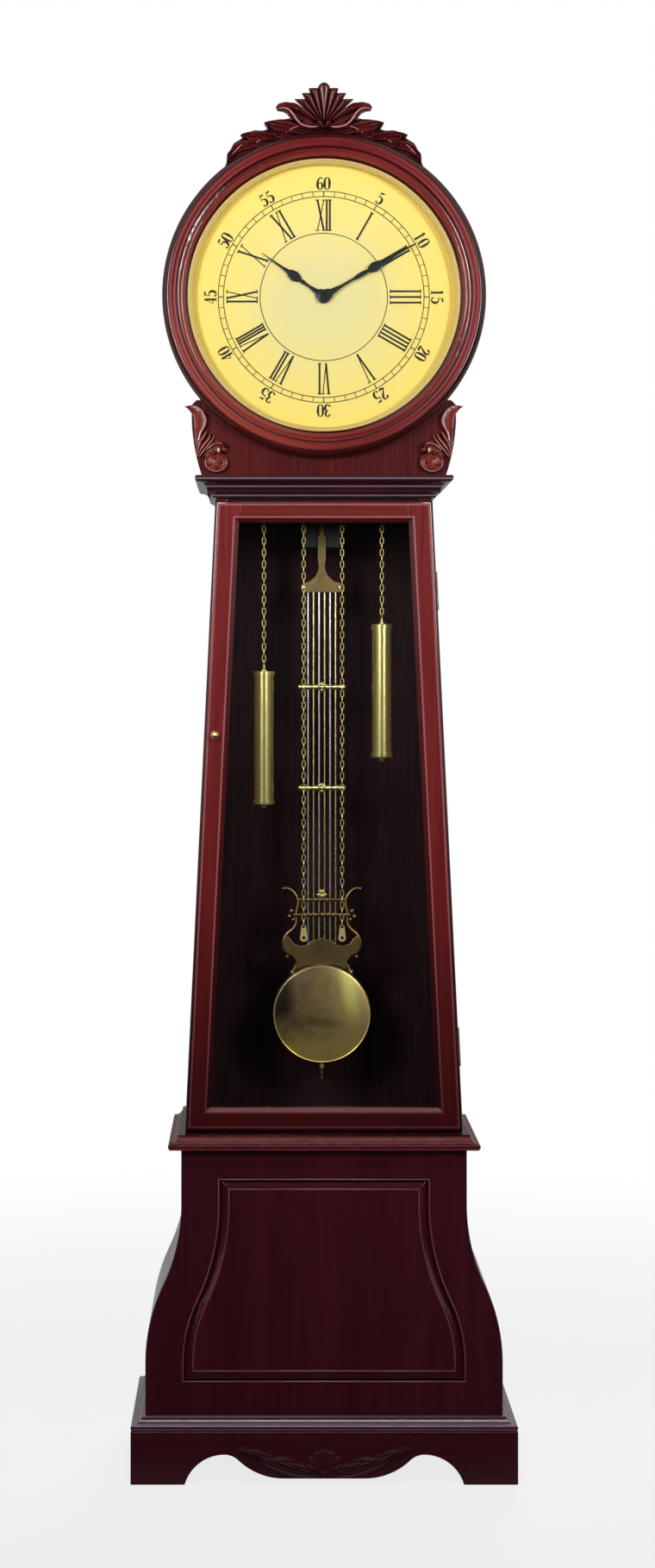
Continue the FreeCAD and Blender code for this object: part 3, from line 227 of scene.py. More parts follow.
def grainVector(look, grain):
    x, y, z = look.xyz()
    stretch = lacquer["stretch"]
    if grain == "ring":  # round the dial
        dx, dz, radius = fromDial(look)
        turn = look.node("ShaderNodeMath", {"operation": "ARCTAN2"}, {0: dx, 1: dz})
        return look.vector(radius, y, turn * (0.2 * stretch))
    if grain == "mitre":  # front length along x, side lengths along y
        return look.vector((x + y) * stretch, z, x * 0.3)
    if grain == "long":
        return look.vector(x * stretch, y, z)
    if grain == "deep":
        return look.vector(x, y * stretch, z)
    return look.vector(x, y, z * stretch)


doorWork = {
    "low": 449.5,
    "high": 1262.0,
    "floor": 446.0,  # where the trunk's half width is taken
    "half": 179.5,
    "taper": 0.04817,
    "stile": 26.0,
    "railLow": 24.5,
    "railHigh": 22.0,
    "sill": 4.5,  # sloped edge above the foot rail
    # colour of the painted highlight lines on lit edges
    "paintedLight": (0.46, 0.150, 0.160),
    # deep: the dark of the painted shade at the trunk's foot
    "deep": (0.012, 0.0014, 0.0034),
    # colour of the painted highlight on the sill's sloped edge
    "sillHighlight": (0.26, 0.045, 0.055),
}


ringWork = {
    # radii of the turned ring in mm
    "quirks": (177.0, 189.0),
    "ridges": (192.4, 197.8),
    "roll": (198.5, 201.0),
    # colour of the painted light low on the left of the ring
    "pale": (0.40, 0.060, 0.036),
}


def ringLightAndShade(look, tone):
    # painted light and shade: the outer roll and the quirks are painted darker as shade, painted highlights
    # run along the ridges at the left and right, and the lower left is painted paler as lit
    dx, dz, radius = fromDial(look)
    pale = (dx + dz) * -5.0
    tone = look.blend(pale.ramp(0.75, 1.35) * 0.45, tone, ringWork["pale"])
    # painted shade in the quirks
    for level in ringWork["quirks"]:
        quirk = 1 - (radius - level * mm).size().ramp(0.5 * mm, 2.4 * mm)
        tone = look.blend(quirk * 0.85, tone, lacquer["paintedShade"])
    # painted highlights along the ridges, at the left and right only
    for level in ringWork["ridges"]:
        ridge = 1 - (radius - level * mm).size().ramp(0.3 * mm, 1.1 * mm)
        tone = look.blend(ridge * (dx * 5.0).size().ramp(0.2, 1.0) * 0.6, tone, doorWork["paintedLight"])
    # painted shade on the outer roll
    first, last = ringWork["roll"]
    return look.blend(radius.ramp(first * mm, last * mm) * 0.78, tone, lacquer["paintedShade"])


def footPaintedShade(look, tone):
    # painted shade: the trunk darkens towards its foot, where less light reaches it
    return look.blend((1 - look.xyz()[2].ramp(0.42, 0.84)) * 0.72, tone, doorWork["deep"])


def doorLightAndShade(look, tone):
    # painted light and shade: a dark rounded rim and a dark reveal round the opening as painted shade, a
    # painted highlight line beside the rim and another round the opening, and a painted highlight on the
    # sloped sill
    x, y, z = look.xyz()
    inset = doorWork["half"] * mm - (z - doorWork["floor"] * mm) * doorWork["taper"] - x.size()
    top = doorWork["high"] * mm - z
    low = z - doorWork["low"] * mm
    rim = inset.least(top).least(low)
    opening = (doorWork["stile"] * mm - inset).most(doorWork["railHigh"] * mm - top)
    opening = opening.most(doorWork["railLow"] * mm - low)
    # painted shade on the rounded rim and in the reveal round the opening
    tone = look.blend((1 - rim.ramp(2.4 * mm, 4.2 * mm)) * 0.75, tone, lacquer["paintedShade"])
    tone = look.blend((1 - opening.ramp(-1.6 * mm, -0.4 * mm)) * 0.6, tone, lacquer["paintedShade"])
    # painted highlight lines beside the rim and round the opening
    for edge in (rim - 5.2 * mm, opening - 0.7 * mm):
        tone = look.blend((1 - edge.size().ramp(0.5 * mm, 1.5 * mm)) * 0.75, tone, doorWork["paintedLight"])
    tone = footPaintedShade(look, tone)
    # painted highlight on the sloped sill above the foot rail
    rise = low - doorWork["railLow"] * mm
    sill = rise.ramp(0.0, 0.6 * mm) * (1 - rise.ramp(doorWork["sill"] * mm, (doorWork["sill"] + 1.0) * mm))
    inside = inset.ramp(doorWork["stile"] * mm, (doorWork["stile"] + 2.0) * mm)
    return look.blend(sill * inside * 0.8, tone, doorWork["sillHighlight"])


def paintedEdgeLines(levels, tint):
    # painted highlights: thin light lines along the edges of a moulding, at heights in mm
    def shade(look, tone):
        z = look.xyz()[2]
        for level in levels:
            line = 1 - (z - level * mm).size().ramp(0.5 * mm, 1.4 * mm)
            tone = look.blend(line * 0.85, tone, tint)
        return tone

    return shade


def sheen(matt):
    # share of the gloss that is left where the lacquer is rubbed down
    if matt == 0:
        return 1.0
    return 0.6 if matt < 0.05 else 0.4


def woodLook(name, grain, stain, shade=None, carved=False, matt=0.0):
    look = Look(name)
    along = grainVector(look, grain)
    figure = look.noise(along, lacquer["figure"], 4.0, 0.4)
    broad = look.noise(along, lacquer["figure"] * 0.14, 2.0, 0.3)
    pores = look.noise(along, lacquer["pores"], 2.0)
    shadow, body, streak = stainsAndPaintedLight[stain]
    tone = look.blend((figure * 0.6 + broad * 0.5).ramp(0.35, 0.62), shadow, body)
    tone = look.blend((figure * 0.45 + broad * 0.6).ramp(0.52, 0.78), tone, streak)
    tone = look.blend(pores.ramp(0.60, 0.74) * 0.45, tone, shadow)
    if shade:
        tone = shade(look, tone)
    rough = lacquer["rough"] + matt + (figure - 0.5) * 0.14
    if carved:  # painted shade: an occlusion mask darkens the cuts, and the high parts keep the stain's tone
        paintedLight = look.cavity(8 * mm).ramp(0.30, 0.90)
        tone = look.blend(paintedLight, lacquer["paintedShade"], tone)
    return look.surface({
        "Base Color": tone,
        "Roughness": rough,
        "Specular IOR Level": lacquer["gloss"] * sheen(matt),
        "Coat Weight": 0.0 if matt > 0 else lacquer["coat"],
        "Coat Roughness": 0.10,
        "Normal": look.bump(pores, 0.10, 0.15 * mm),
    })


def boardLook():
    look = Look("darkStain")
    x, y, z = look.xyz()
    along = look.vector(x, y, z * 0.05)
    figure = look.noise(along, 180.0, 3.0)
    tone = look.blend(figure.ramp(0.35, 0.7), (0.015, 0.0038, 0.0062), (0.040, 0.0090, 0.0125))
    bare = look.blend(figure.ramp(0.30, 0.75), (0.085, 0.040, 0.024), (0.150, 0.078, 0.046))
    tone = look.blend(y.ramp(backFace - 1.5 * mm, backFace - 0.3 * mm), tone, bare)  # unstained behind
    return look.surface({"Base Color": tone, "Roughness": 0.55 + figure * 0.2, "Specular IOR Level": 0.2,
                         "Normal": look.bump(figure, 0.08, 0.2 * mm)})


# metals

def brassLook(name, bright, dull, rough, age=1.0, metal=1.0):
    look = Look(name)
    x, y, z = look.xyz()
    tarnish = look.noise(look.place(), 55.0, 4.0)
    lines = look.noise(look.vector(x, y, z * 0.04), 1900.0, 2.0)
    tone = look.blend(tarnish.ramp(0.38, 0.72) * (0.75 * age), bright, dull)
    return look.surface({
        "Base Color": tone,
        "Metallic": metal,
        "Roughness": rough + (tarnish - 0.5) * (0.16 * age) + (lines - 0.5) * (0.10 * age),
        "Normal": look.bump(lines, 0.04 * age, 0.05 * mm),
    })


def bobPaintedLightLook():
    # a brushed face with painted light: painted shade on the left and a painted dark band across the middle,
    # painted reflections as a bright upright band and a warm foot, and a painted highlight round the rim
    look = Look("brassBobPaintedLight")
    x, y, z = look.xyz()
    dx = (x - bobMid[0]) / bobRadius
    dz = (z - bobMid[1]) / bobRadius
    lines = look.noise(look.vector(x, y, z * 0.03), 1500.0, 2.0)
    cloud = look.noise(look.vector(x, y, z), 60.0, 5.0)
    speck = look.noise(look.vector(x, y, z), 900.0, 2.0)
    # painted light: darker to the left and top, brighter to the right and foot, broken by random cloud and
    # speck
    side = dx * 0.8 - dz * 0.35 + (cloud - 0.5) * 0.9 + (speck - 0.5) * 0.8
    tone = look.blend(side.ramp(-0.8, 0.6), (0.20, 0.130, 0.065), (0.74, 0.52, 0.20))
    # painted shade on the left
    shade = (1 - (dx + 0.95).size().ramp(0.18, 0.50)) * (dz + 0.25).ramp(0.0, 0.35)
    tone = look.blend(shade * 0.95, tone, (0.02, 0.012, 0.008))
    # painted dark reflection as a band across the middle
    bar = (1 - (dz + 0.16 + dx * 0.12).size().ramp(0.03, 0.16)) * (1 - dx.size().ramp(0.15, 0.55))
    tone = look.blend(bar * 0.5, tone, (0.10, 0.065, 0.030))
    # painted reflection: a bright upright band on the right
    band = (1 - (dx + 0.12 * dz - 0.62).size().ramp(0.04, 0.24)) * (dz + 0.45).ramp(0.0, 0.7)
    tone = look.blend(band * (0.6 + speck * 0.5), tone, (1.0, 0.92, 0.28))
    # painted reflection: a warm foot
    tone = look.blend((0.0 - dz + (cloud - 0.5) * 0.5).ramp(0.25, 0.85) * 0.9, tone, (1.0, 0.68, 0.20))
    # painted highlight round the rim
    tone = look.blend((dx * dx + dz * dz).ramp(0.91, 0.95), tone, (0.98, 0.86, 0.46))
    return look.surface({
        "Base Color": tone,
        "Metallic": 0.72,
        "Roughness": 0.30 + (lines - 0.5) * 0.10,
        "Normal": look.bump(lines, 0.04, 0.05 * mm),
    })


def steelLook():
    look = Look("polishedSteel")
    x, y, z = look.xyz()
    drawn = look.noise(look.vector(x, y, z * 0.01), 2500.0, 2.0)
    tone = look.blend(drawn, (0.84, 0.79, 0.80), (0.95, 0.91, 0.92))
    return look.surface({"Base Color": tone, "Metallic": 1.0, "Roughness": 0.2 + drawn * 0.14})


# dial, hands, small parts

def dialLook():
    look = Look("goldDial")
    radius = fromDial(look)[2]
    paper = look.noise(look.place(), 900.0, 3.0)
    cloud = look.noise(look.place(), 14.0, 3.0)
    tone = look.blend((radius + (cloud - 0.5) * 0.05).ramp(0.03, 0.160), (0.790, 0.690, 0.325),
                      (0.920, 0.735, 0.190))
    tone = look.blend(radius.ramp(0.150, 0.174) * 0.5, tone, (0.94, 0.68, 0.14))
    tone = look.blend(paper.ramp(0.45, 0.8) * 0.10, tone, (0.72, 0.56, 0.14))
    return look.surface({"Base Color": tone, "Roughness": 0.5 + paper * 0.1, "Specular IOR Level": 0.25,
                         "Normal": look.bump(paper, 0.04, 0.05 * mm)})


def plainLook(name, dark, light, rough, scale, metal=0.0):
    look = Look(name)
    grain = look.noise(look.place(), scale, 3.0)
    return look.surface({
        "Base Color": look.blend(grain.ramp(0.35, 0.7), dark, light),
        "Metallic": metal,
        "Roughness": rough + (grain - 0.5) * 0.15,
        "Specular IOR Level": 0.35,
        "Normal": look.bump(grain, 0.06, 0.08 * mm),
    })


def glassLook():
    look = Look("clearGlass")
    smear = look.noise(look.place(), 9.0, 2.0)
    clear = look.node("ShaderNodeBsdfTransparent", {}, {"Color": (0.975, 0.985, 0.98)})
    shine = look.node("ShaderNodeBsdfGlossy", {}, {"Color": (1, 1, 1), "Roughness": 0.02})
    edge = look.node("ShaderNodeFresnel", {}, {"IOR": 1.40})
    share = edge * (0.35 + smear * 0.2)
    return look.finish(look.node("ShaderNodeMixShader", {}, {0: share, 1: clear, 2: shine}))


looks = {
    "upright": woodLook("mahoganyUpright", "upright", "trunk", footPaintedShade),
    "doorUpright": woodLook("mahoganyStile", "upright", "trunk", doorLightAndShade),
    "doorLong": woodLook("mahoganyRail", "long", "trunk", doorLightAndShade),
    # the ledge, cornice and base mitre carry painted highlight lines along their edges
    "ledge": woodLook("mahoganyLedge", "mitre", "ledge",
                      paintedEdgeLines((441.8, 436.7, 429.4), (0.33, 0.058, 0.066)), matt=0.06),
    # the cornice's darker stain is painted shade
    "cornice": woodLook("mahoganyCorniceShaded", "mitre", "cornice",
                        paintedEdgeLines((1289.6, 1280.2, 1269.4), (0.26, 0.145, 0.175))),
    "turned": woodLook("mahoganyTurned", "ring", "ring", ringLightAndShade),
    # the neck's darker stain is painted shade under the ring
    "neck": woodLook("mahoganyNeckShaded", "upright", "neck", matt=0.05),
    "beadHighlight": woodLook("mahoganyBeadHighlight", "long", "beadHighlight"),
    "baseUpright": woodLook("mahoganyBase", "upright", "base"),
    "baseLong": woodLook("mahoganyBaseLong", "long", "base"),
    "baseMitre": woodLook("mahoganyBaseMitre", "mitre", "base",
                          paintedEdgeLines((83.7, 78.3, 75.4, 70.4), (0.33, 0.20, 0.30))),
    "baseDeep": woodLook("mahoganyBaseDeep", "deep", "base"),
    "crest": woodLook("mahoganyCrest", "upright", "crest", carved=True, matt=0.02),
    "corner": woodLook("mahoganyCorner", "upright", "corner", carved=True),
    # pale stain as painted highlights on the rolled lips
    "lip": woodLook("mahoganyLipHighlight", "upright", "lip"),
    "baseCarved": woodLook("mahoganyBaseCarved", "long", "base", carved=True, matt=0.26),
    "board": boardLook(),
    "brass": brassLook("brassPolished", (0.95, 0.79, 0.34), (0.74, 0.58, 0.21), 0.26),
    "brassDull": brassLook("brassAged", (0.32, 0.215, 0.090), (0.19, 0.125, 0.050), 0.36),
    "brassTube": brassLook("brassTube", (0.70, 0.60, 0.22), (0.62, 0.52, 0.17), 0.24, 0.3, 0.82),
    "brassBright": brassLook("brassBright", (0.98, 0.84, 0.36), (0.88, 0.72, 0.26), 0.32, 0.4),
    "brassChain": brassLook("brassChain", (0.93, 0.74, 0.31), (0.72, 0.55, 0.20), 0.42, 0.3),
    "bob": bobPaintedLightLook(),
    "gilt": plainLook("giltRing", (0.66, 0.49, 0.15), (0.80, 0.61, 0.20), 0.42, 500.0, 0.2),
    "steel": steelLook(),
    "dial": dialLook(),
    "ink": plainLook("dialInk", (0.010, 0.007, 0.003), (0.030, 0.020, 0.008), 0.6, 700.0),
    "black": plainLook("blackLacquer", (0.003, 0.003, 0.003), (0.010, 0.009, 0.008), 0.35, 300.0),
    "plastic": plainLook("blackPlastic", (0.010, 0.010, 0.011), (0.028, 0.028, 0.03), 0.5, 900.0),
    "cell": plainLook("cellSleeve", (0.018, 0.022, 0.040), (0.045, 0.055, 0.090), 0.35, 120.0),
    "glass": glassLook(),
}
print("finishes made:", len(looks))


# modelling helpers

sharpAngle = 32  # degrees between two faces of a real edge


def pick(*objects):
    if bpy.context.object and bpy.context.object.mode != "OBJECT":
        bpy.ops.object.mode_set(mode="OBJECT")
    bpy.ops.object.select_all(action="DESELECT")
    for o in objects:
        o.select_set(True)
    bpy.context.view_layer.objects.active = objects[0]


def applyAll(piece):
    pick(piece)
    for modifier in list(piece.modifiers):
        bpy.ops.object.modifier_apply(modifier=modifier.name)


def bevelled(piece, width, segments=3):
    bevel = piece.modifiers.new("edge", "BEVEL")
    bevel.width = width * mm
    bevel.segments = segments
    bevel.limit_method = "ANGLE"
    bevel.angle_limit = math.radians(sharpAngle)
    weighted = piece.modifiers.new("normals", "WEIGHTED_NORMAL")
    weighted.keep_sharp = True
    weighted.weight = 80


def smooth(piece, angle):
    pick(piece)
    bpy.ops.object.shade_smooth_by_angle(angle=math.radians(angle))


def paint(piece, look):
    piece.data.materials.clear()
    piece.data.materials.append(looks[look])


def settle(piece, name, body, slot, look, *stoodFor):
    piece.name = name
    piece.data.name = name
    paint(piece, look)
    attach(piece, body)
    if stoodFor:
        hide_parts(*stoodFor)
    return piece


def standIn(piece, node, look):
    # a dressed piece in place of one piece of the frame
    return settle(piece, node + "_finish", bodyOf[node], slotOf[node], look, node)


def joined(parts):
    pick(*parts)
    if len(parts) > 1:
        bpy.ops.object.join()
    return bpy.context.object


def placed(piece):
    pick(piece)
    bpy.ops.object.transform_apply(location=True, rotation=True, scale=True)
    return piece


def added(make, **settings):
    bpy.ops.object.select_all(action="DESELECT")
    make(**settings)
    return bpy.context.object


def linked(data):
    piece = bpy.data.objects.new("blank", data)
    bpy.context.scene.collection.objects.link(piece)
    pick(piece)
    return piece


def faced(piece, merge=0.0):
    # merges points closer than a distance in mm and turns all faces outwards
    pick(piece)
    bpy.ops.object.mode_set(mode="EDIT")
    bpy.ops.mesh.select_all(action="SELECT")
    if merge:
        bpy.ops.mesh.remove_doubles(threshold=merge * mm)
    bpy.ops.mesh.normals_make_consistent(inside=False)
    bpy.ops.object.mode_set(mode="OBJECT")
    return piece


def pushed(corners, faces, depth):
    # flat faces drawn in x and z, pushed along y into a plate
    sheet = bpy.data.meshes.new("sheet")
    sheet.from_pydata(corners, [], faces)
    piece = linked(sheet)
    bpy.ops.object.mode_set(mode="EDIT")
    bpy.ops.mesh.select_all(action="SELECT")
    bpy.ops.mesh.remove_doubles(threshold=0.002 * mm)
    bpy.ops.mesh.extrude_region_move(TRANSFORM_OT_translate={"value": (0, depth, 0)})
    bpy.ops.object.mode_set(mode="OBJECT")
    return faced(piece)


def wireMesh(line, closed=False):
    # a round wire through points of x, y and z in metres, each with its radius in mm
    curve = bpy.data.curves.new("wire", "CURVE")
    curve.dimensions = "3D"
    curve.bevel_depth = mm
    curve.bevel_resolution = 2
    curve.use_fill_caps = not closed
    spline = curve.splines.new("POLY")
    spline.use_cyclic_u = closed
    spline.points.add(len(line) - 1)
    for point, (x, y, z, radius) in zip(spline.points, line):
        point.co = (x, y, z, 1.0)
        point.radius = radius
    linked(curve)
    bpy.ops.object.convert(target="MESH")
    return bpy.context.object


# case boards: the frame's own shapes with eased, lacquered edges

boards = {
    # look, and width of the eased edge in mm
    "plinth_apron": ("baseLong", 0.9),
    "plinth_side_skirts": ("baseDeep", 0.9),
    "plinth_back_rail": ("baseLong", 0.8),
    "plinth_moulding": ("baseMitre", 0.5),
    "base_front_frame": ("baseUpright", 1.3),
    "base_raised_panel": ("baseUpright", 1.6),
    "base_left_side": ("baseUpright", 0.7),
    "base_right_side": ("baseUpright", 0.7),
    "waist_ledge": ("ledge", 0.5),
    "trunk_left_side": ("upright", 0.9),
    "trunk_right_side": ("upright", 0.6),
    "neck_cornice": ("cornice", 1.2),
    "hood_front_board": ("neck", 0.9),
    "hood_drum": ("turned", 0.8),
    "bezel_ring": ("turned", 0.6),
    "door_left_stile": ("doorUpright", 0.7),
    "door_right_stile": ("doorUpright", 0.5),
    "door_top_rail": ("doorLong", 0.7),
    "door_bottom_rail": ("doorLong", 0.7),
    "base_back_panel": ("board", 0.5),
    "base_floor_board": ("board", 0.5),
    "trunk_floor_board": ("board", 0.6),
    "trunk_back_panel": ("board", 0.5),
    "trunk_top_board": ("board", 0.5),
    "hood_back_cover": ("board", 0.6),
    "door_glass_beads": ("board", 0.4),
    "dial_spacer": ("gilt", 0.2),
    "sight_ring": ("gilt", 0.25),
    "dial_plate": ("dial", 0.0),
    "door_knob": ("brassBright", 0.2),
    "hinge_case_leaves": ("brassDull", 0.15),
    "hinge_door_leaves": ("brassDull", 0.15),
    "catch_plate": ("steel", 0.2),
    "catch_magnet": ("plastic", 0.6),
    "movement_case": ("plastic", 0.8),
    "movement_battery": ("cell", 0.5),
    "movement_bush": ("brass", 0.2),
    "pendulum_drive": ("plastic", 0.9),
    "suspension_strip": ("brassDull", 0.1),
    "pendulum_leader": ("brassDull", 0.5),
    "pendulum_steel_rods": ("steel", 0.15),
    "pendulum_brass_rods": ("brass", 0.15),
    "rating_nut": ("brass", 0.4),
    "chain_hooks": ("brass", 0.0),
    "left_weight": ("brassTube", 0.25),
    "right_weight": ("brassTube", 0.25),
}


def dress(node, look, edge):
    source = nodes[node]
    piece = source.copy()
    piece.data = source.data.copy()
    piece.parent = None
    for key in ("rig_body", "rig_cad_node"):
        if key in piece:
            del piece[key]
    bpy.context.scene.collection.objects.link(piece)
    pick(piece)
    bpy.ops.object.mode_set(mode="EDIT")
    bpy.ops.mesh.select_all(action="SELECT")
    bpy.ops.mesh.remove_doubles(threshold=0.004 * mm)
    bpy.ops.mesh.dissolve_limited(angle_limit=math.radians(0.4))
    bpy.ops.object.mode_set(mode="OBJECT")
    smooth(piece, sharpAngle)
    if edge:
        bevelled(piece, edge)
        applyAll(piece)
    low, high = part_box(node)
    for v in piece.data.vertices:  # no eased mitre stands past the frame's own shape
        v.co = [min(max(c, a), b) for c, a, b in zip(v.co, low, high)]
    return standIn(piece, node, look)


for node, (look, edge) in boards.items():
    dress(node, look, edge)
for node in ("door_glass", "dial_glass"):
    paint(nodes[node], "glass")
print("boards and metalwork dressed:", len(boards))


# beads round the raised field of the base panel and out on the frame, stained pale as painted highlight lines

fieldBead = {"radius": 1.25, "sunk": 0.4, "apart": 13.0}


def beadLoop(line, apart, y):
    # runs the rim's line outwards by a distance, as a closed wire
    points = []
    for i, here in enumerate(line):
        one = (here - line[i - 1]).normalized()
        two = (line[(i + 1) % len(line)] - here).normalized()
        side = (one + two).normalized()
        grow = apart * mm / max(0.5, side.dot(one))
        points.append((here.x - side.z * grow, y, here.z + side.x * grow, fieldBead["radius"]))
    piece = wireMesh(points, True)
    smooth(piece, 60)
    return piece


def makeFieldBeads():
    panel = nodes["base_raised_panel"].data
    front = min(v.co.y for v in panel.vertices)
    rim = {}
    for v in panel.vertices:
        if v.co.y < front + 0.05 * mm:
            rim[(round(v.co.x, 5), round(v.co.z, 5))] = v.co
    middle = sum(c.z for c in rim.values()) / len(rim)
    line = sorted(rim.values(), key=lambda c: math.atan2(c.x, c.z - middle))
    sunk = fieldBead["sunk"] * mm
    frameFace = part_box("base_front_frame")[0].y
    loops = [beadLoop(line, 0.0, front + sunk), beadLoop(line, fieldBead["apart"], frameFace + sunk)]
    # the beads are stained pale as painted highlight lines
    return settle(joined(loops), "panel_beads", "case", "mahogany", "beadHighlight")


makeFieldBeads()


# chains: one oval wire link, copied down each chain

chainWork = {
    "pitch": 7.7,
    "wire": 0.62,
    "width": 5.6,
    "halfLength": 5.12,
    "counts": {
        "left_weight_chain": 24,
        "right_weight_chain": 16,
        "left_pull_chain": 69,
        "right_pull_chain": 69,
    },
}


def linkMesh():
    wire = chainWork["wire"] * mm
    bend = chainWork["width"] * mm / 2 - wire
    pull = chainWork["halfLength"] * mm - wire - bend
    link = placed(added(bpy.ops.mesh.primitive_torus_add, major_segments=12, minor_segments=6,
                        major_radius=bend, minor_radius=wire, rotation=(math.pi / 2, 0, 0)))
    for v in link.data.vertices:  # pull the ring out to an oval
        v.co.z += math.copysign(pull, v.co.z) if abs(v.co.z) > 1e-6 else 0.0
    return link


def chainPiece(node):
    low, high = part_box(node)
    x, y = spot(node).xy
    master = linkMesh()
    smooth(master, 60)
    parts = []
    for i in range(chainWork["counts"][node]):
        link = master.copy()
        link.data = master.data.copy()
        bpy.context.scene.collection.objects.link(link)
        link.rotation_euler = (0, 0, 0 if i % 2 else math.pi / 2)
        link.location = (x, y, high.z - (chainWork["halfLength"] + i * chainWork["pitch"]) * mm)
        placed(link)
        parts.append(link)
    bpy.data.objects.remove(master)
    if "pull" in node:
        parts.append(tagMesh(x, y, low.z))
    return standIn(joined(parts), node, "brassChain")


tag = {"top": 3.2, "low": 5.0, "height": 22.5, "thick": 1.6, "holes": (1.9, 2.2), "steps": 20, "edge": 0.2}


def tagMesh(x, y, lowZ):
    # pear outline round two holes, as one band of faces with thickness
    lowMid = lowZ + tag["low"] * mm
    topMid = lowZ + (tag["height"] - tag["top"]) * mm
    middle = (lowMid + topMid) / 2
    parts = []
    for mid, outer, hole in ((topMid, tag["top"], tag["holes"][0]), (lowMid, tag["low"], tag["holes"][1])):
        inward = math.copysign(1, middle - mid)
        eye = placed(added(bpy.ops.mesh.primitive_circle_add, vertices=tag["steps"], radius=hole * mm,
                           fill_type="NOTHING", rotation=(math.pi / 2, 0, 0), location=(x, y, mid)))
        bpy.ops.object.mode_set(mode="EDIT")
        bpy.ops.mesh.select_all(action="SELECT")
        bpy.ops.mesh.extrude_edges_move()
        bpy.ops.object.mode_set(mode="OBJECT")
        for v in eye.data.vertices:
            if v.select:
                dx = v.co.x - x
                dz = v.co.z - mid
                reach = math.hypot(dx, dz)
                v.co.x = x + dx / reach * outer * mm
                v.co.z = mid + dz / reach * outer * mm
                if dz * inward > 1e-9:  # the side that faces the other eye
                    v.co.z = middle
                    v.co.x = x + dx / reach * (tag["top"] + tag["low"]) / 2 * mm
        parts.append(eye)
    whole = faced(joined(parts), 0.01)
    thick = whole.modifiers.new("thick", "SOLIDIFY")
    thick.thickness = tag["thick"] * mm
    thick.offset = 0.0
    bevelled(whole, tag["edge"], 2)
    applyAll(whole)
    return whole


for node in chainWork["counts"]:
    chainPiece(node)
print("chains linked")


# dial print: tracks, sixty divisions, radial numerals

dialPrint = {
    "thick": 0.12,
    "trackOut": 136.6,
    "trackIn": 129.8,
    "line": 1.1,
    "division": 0.9,
    "hourDivision": 1.5,  # times as wide as the others
    "innerCircle": 82.4,
    "hoopSteps": 180,
    "romanLow": 85.5,
    "romanHigh": 126.0,
    "minuteLow": 138.9,
    "minuteHigh": 154.8,
}


def inkSheet(outlines):
    # flat shapes in the dial plane, each a list of x, z corners in mm from the dial's middle
    corners = []
    faces = []
    for outline in outlines:
        start = len(corners)
        corners += [(ringMid.x + x * mm, dialFace, ringMid.z + z * mm) for x, z in outline]
        faces.append(list(range(start, start + len(outline))))
    return pushed(corners, faces, -dialPrint["thick"] * mm)


def hoop(radius, line):
    steps = dialPrint["hoopSteps"]
    near = radius - line / 2
    far = radius + line / 2
    strips = []
    for i in range(steps):
        a = 2 * math.pi * i / steps
        b = 2 * math.pi * (i + 1) / steps
        ends = ((near, a), (far, a), (far, b), (near, b))
        strips.append([(r * math.sin(t), r * math.cos(t)) for r, t in ends])
    return strips


def turned(outline, angle, lift):
    # stands a shape drawn about x = 0 on a radius of the dial
    c = math.cos(angle)
    s = math.sin(angle)
    return [(x * c + (z + lift) * s, (z + lift) * c - x * s) for x, z in outline]


romanHeight = dialPrint["romanHigh"] - dialPrint["romanLow"]
roman = {
    "thick": 0.064,
    "thin": 0.034,
    "serif": 0.032,
    "serifHalf": 0.062,
    "wide": {"V": 0.27, "X": 0.29},
    "tuck": 0.04,  # taken off each side of a slanted letter
    # each numeral with the room that one upright takes in it
    "names": [("I", 0.16), ("II", 0.15), ("III", 0.18), ("IIII", 0.125), ("V", 0.0), ("VI", 0.14),
              ("VII", 0.10), ("VIII", 0.085), ("IX", 0.13), ("X", 0.0), ("XI", 0.12), ("XII", 0.10)],
}


def romanStrokes(letter, x):
    # strokes as (x at the foot, x at the head, half width), then serif places as (x, z)
    thick = roman["thick"] / 2
    thin = roman["thin"] / 2
    if letter == "I":
        return [(x, x, thick)], [(x, 0), (x, 1)]
    half = roman["wide"][letter] / 2 - roman["tuck"]
    if letter == "V":
        return [(x, x - half, thick), (x, x + half, thin)], [(x - half, 1), (x + half, 1)]
    strokes = [(x + half, x - half, thick), (x - half, x + half, thin)]
    return strokes, [(x - half, 0), (x + half, 0), (x - half, 1), (x + half, 1)]


def romanShapes(word, upright):
    rooms = [roman["wide"].get(letter, upright) for letter in word]
    x = -sum(rooms) / 2
    shapes = []
    for letter, room in zip(word, rooms):
        x += room / 2
        strokes, serifs = romanStrokes(letter, x)
        for foot, head, half in strokes:
            shapes.append([(foot - half, 0), (foot + half, 0), (head + half, 1), (head - half, 1)])
        for sx, sz in serifs:
            low = sz if sz == 0 else sz - roman["serif"]
            high = low + roman["serif"]
            left = sx - roman["serifHalf"]
            right = sx + roman["serifHalf"]
            shapes.append([(left, low), (right, low), (right, high), (left, high)])
        x += room / 2
    return [[(px * romanHeight, pz * romanHeight) for px, pz in shape] for shape in shapes]


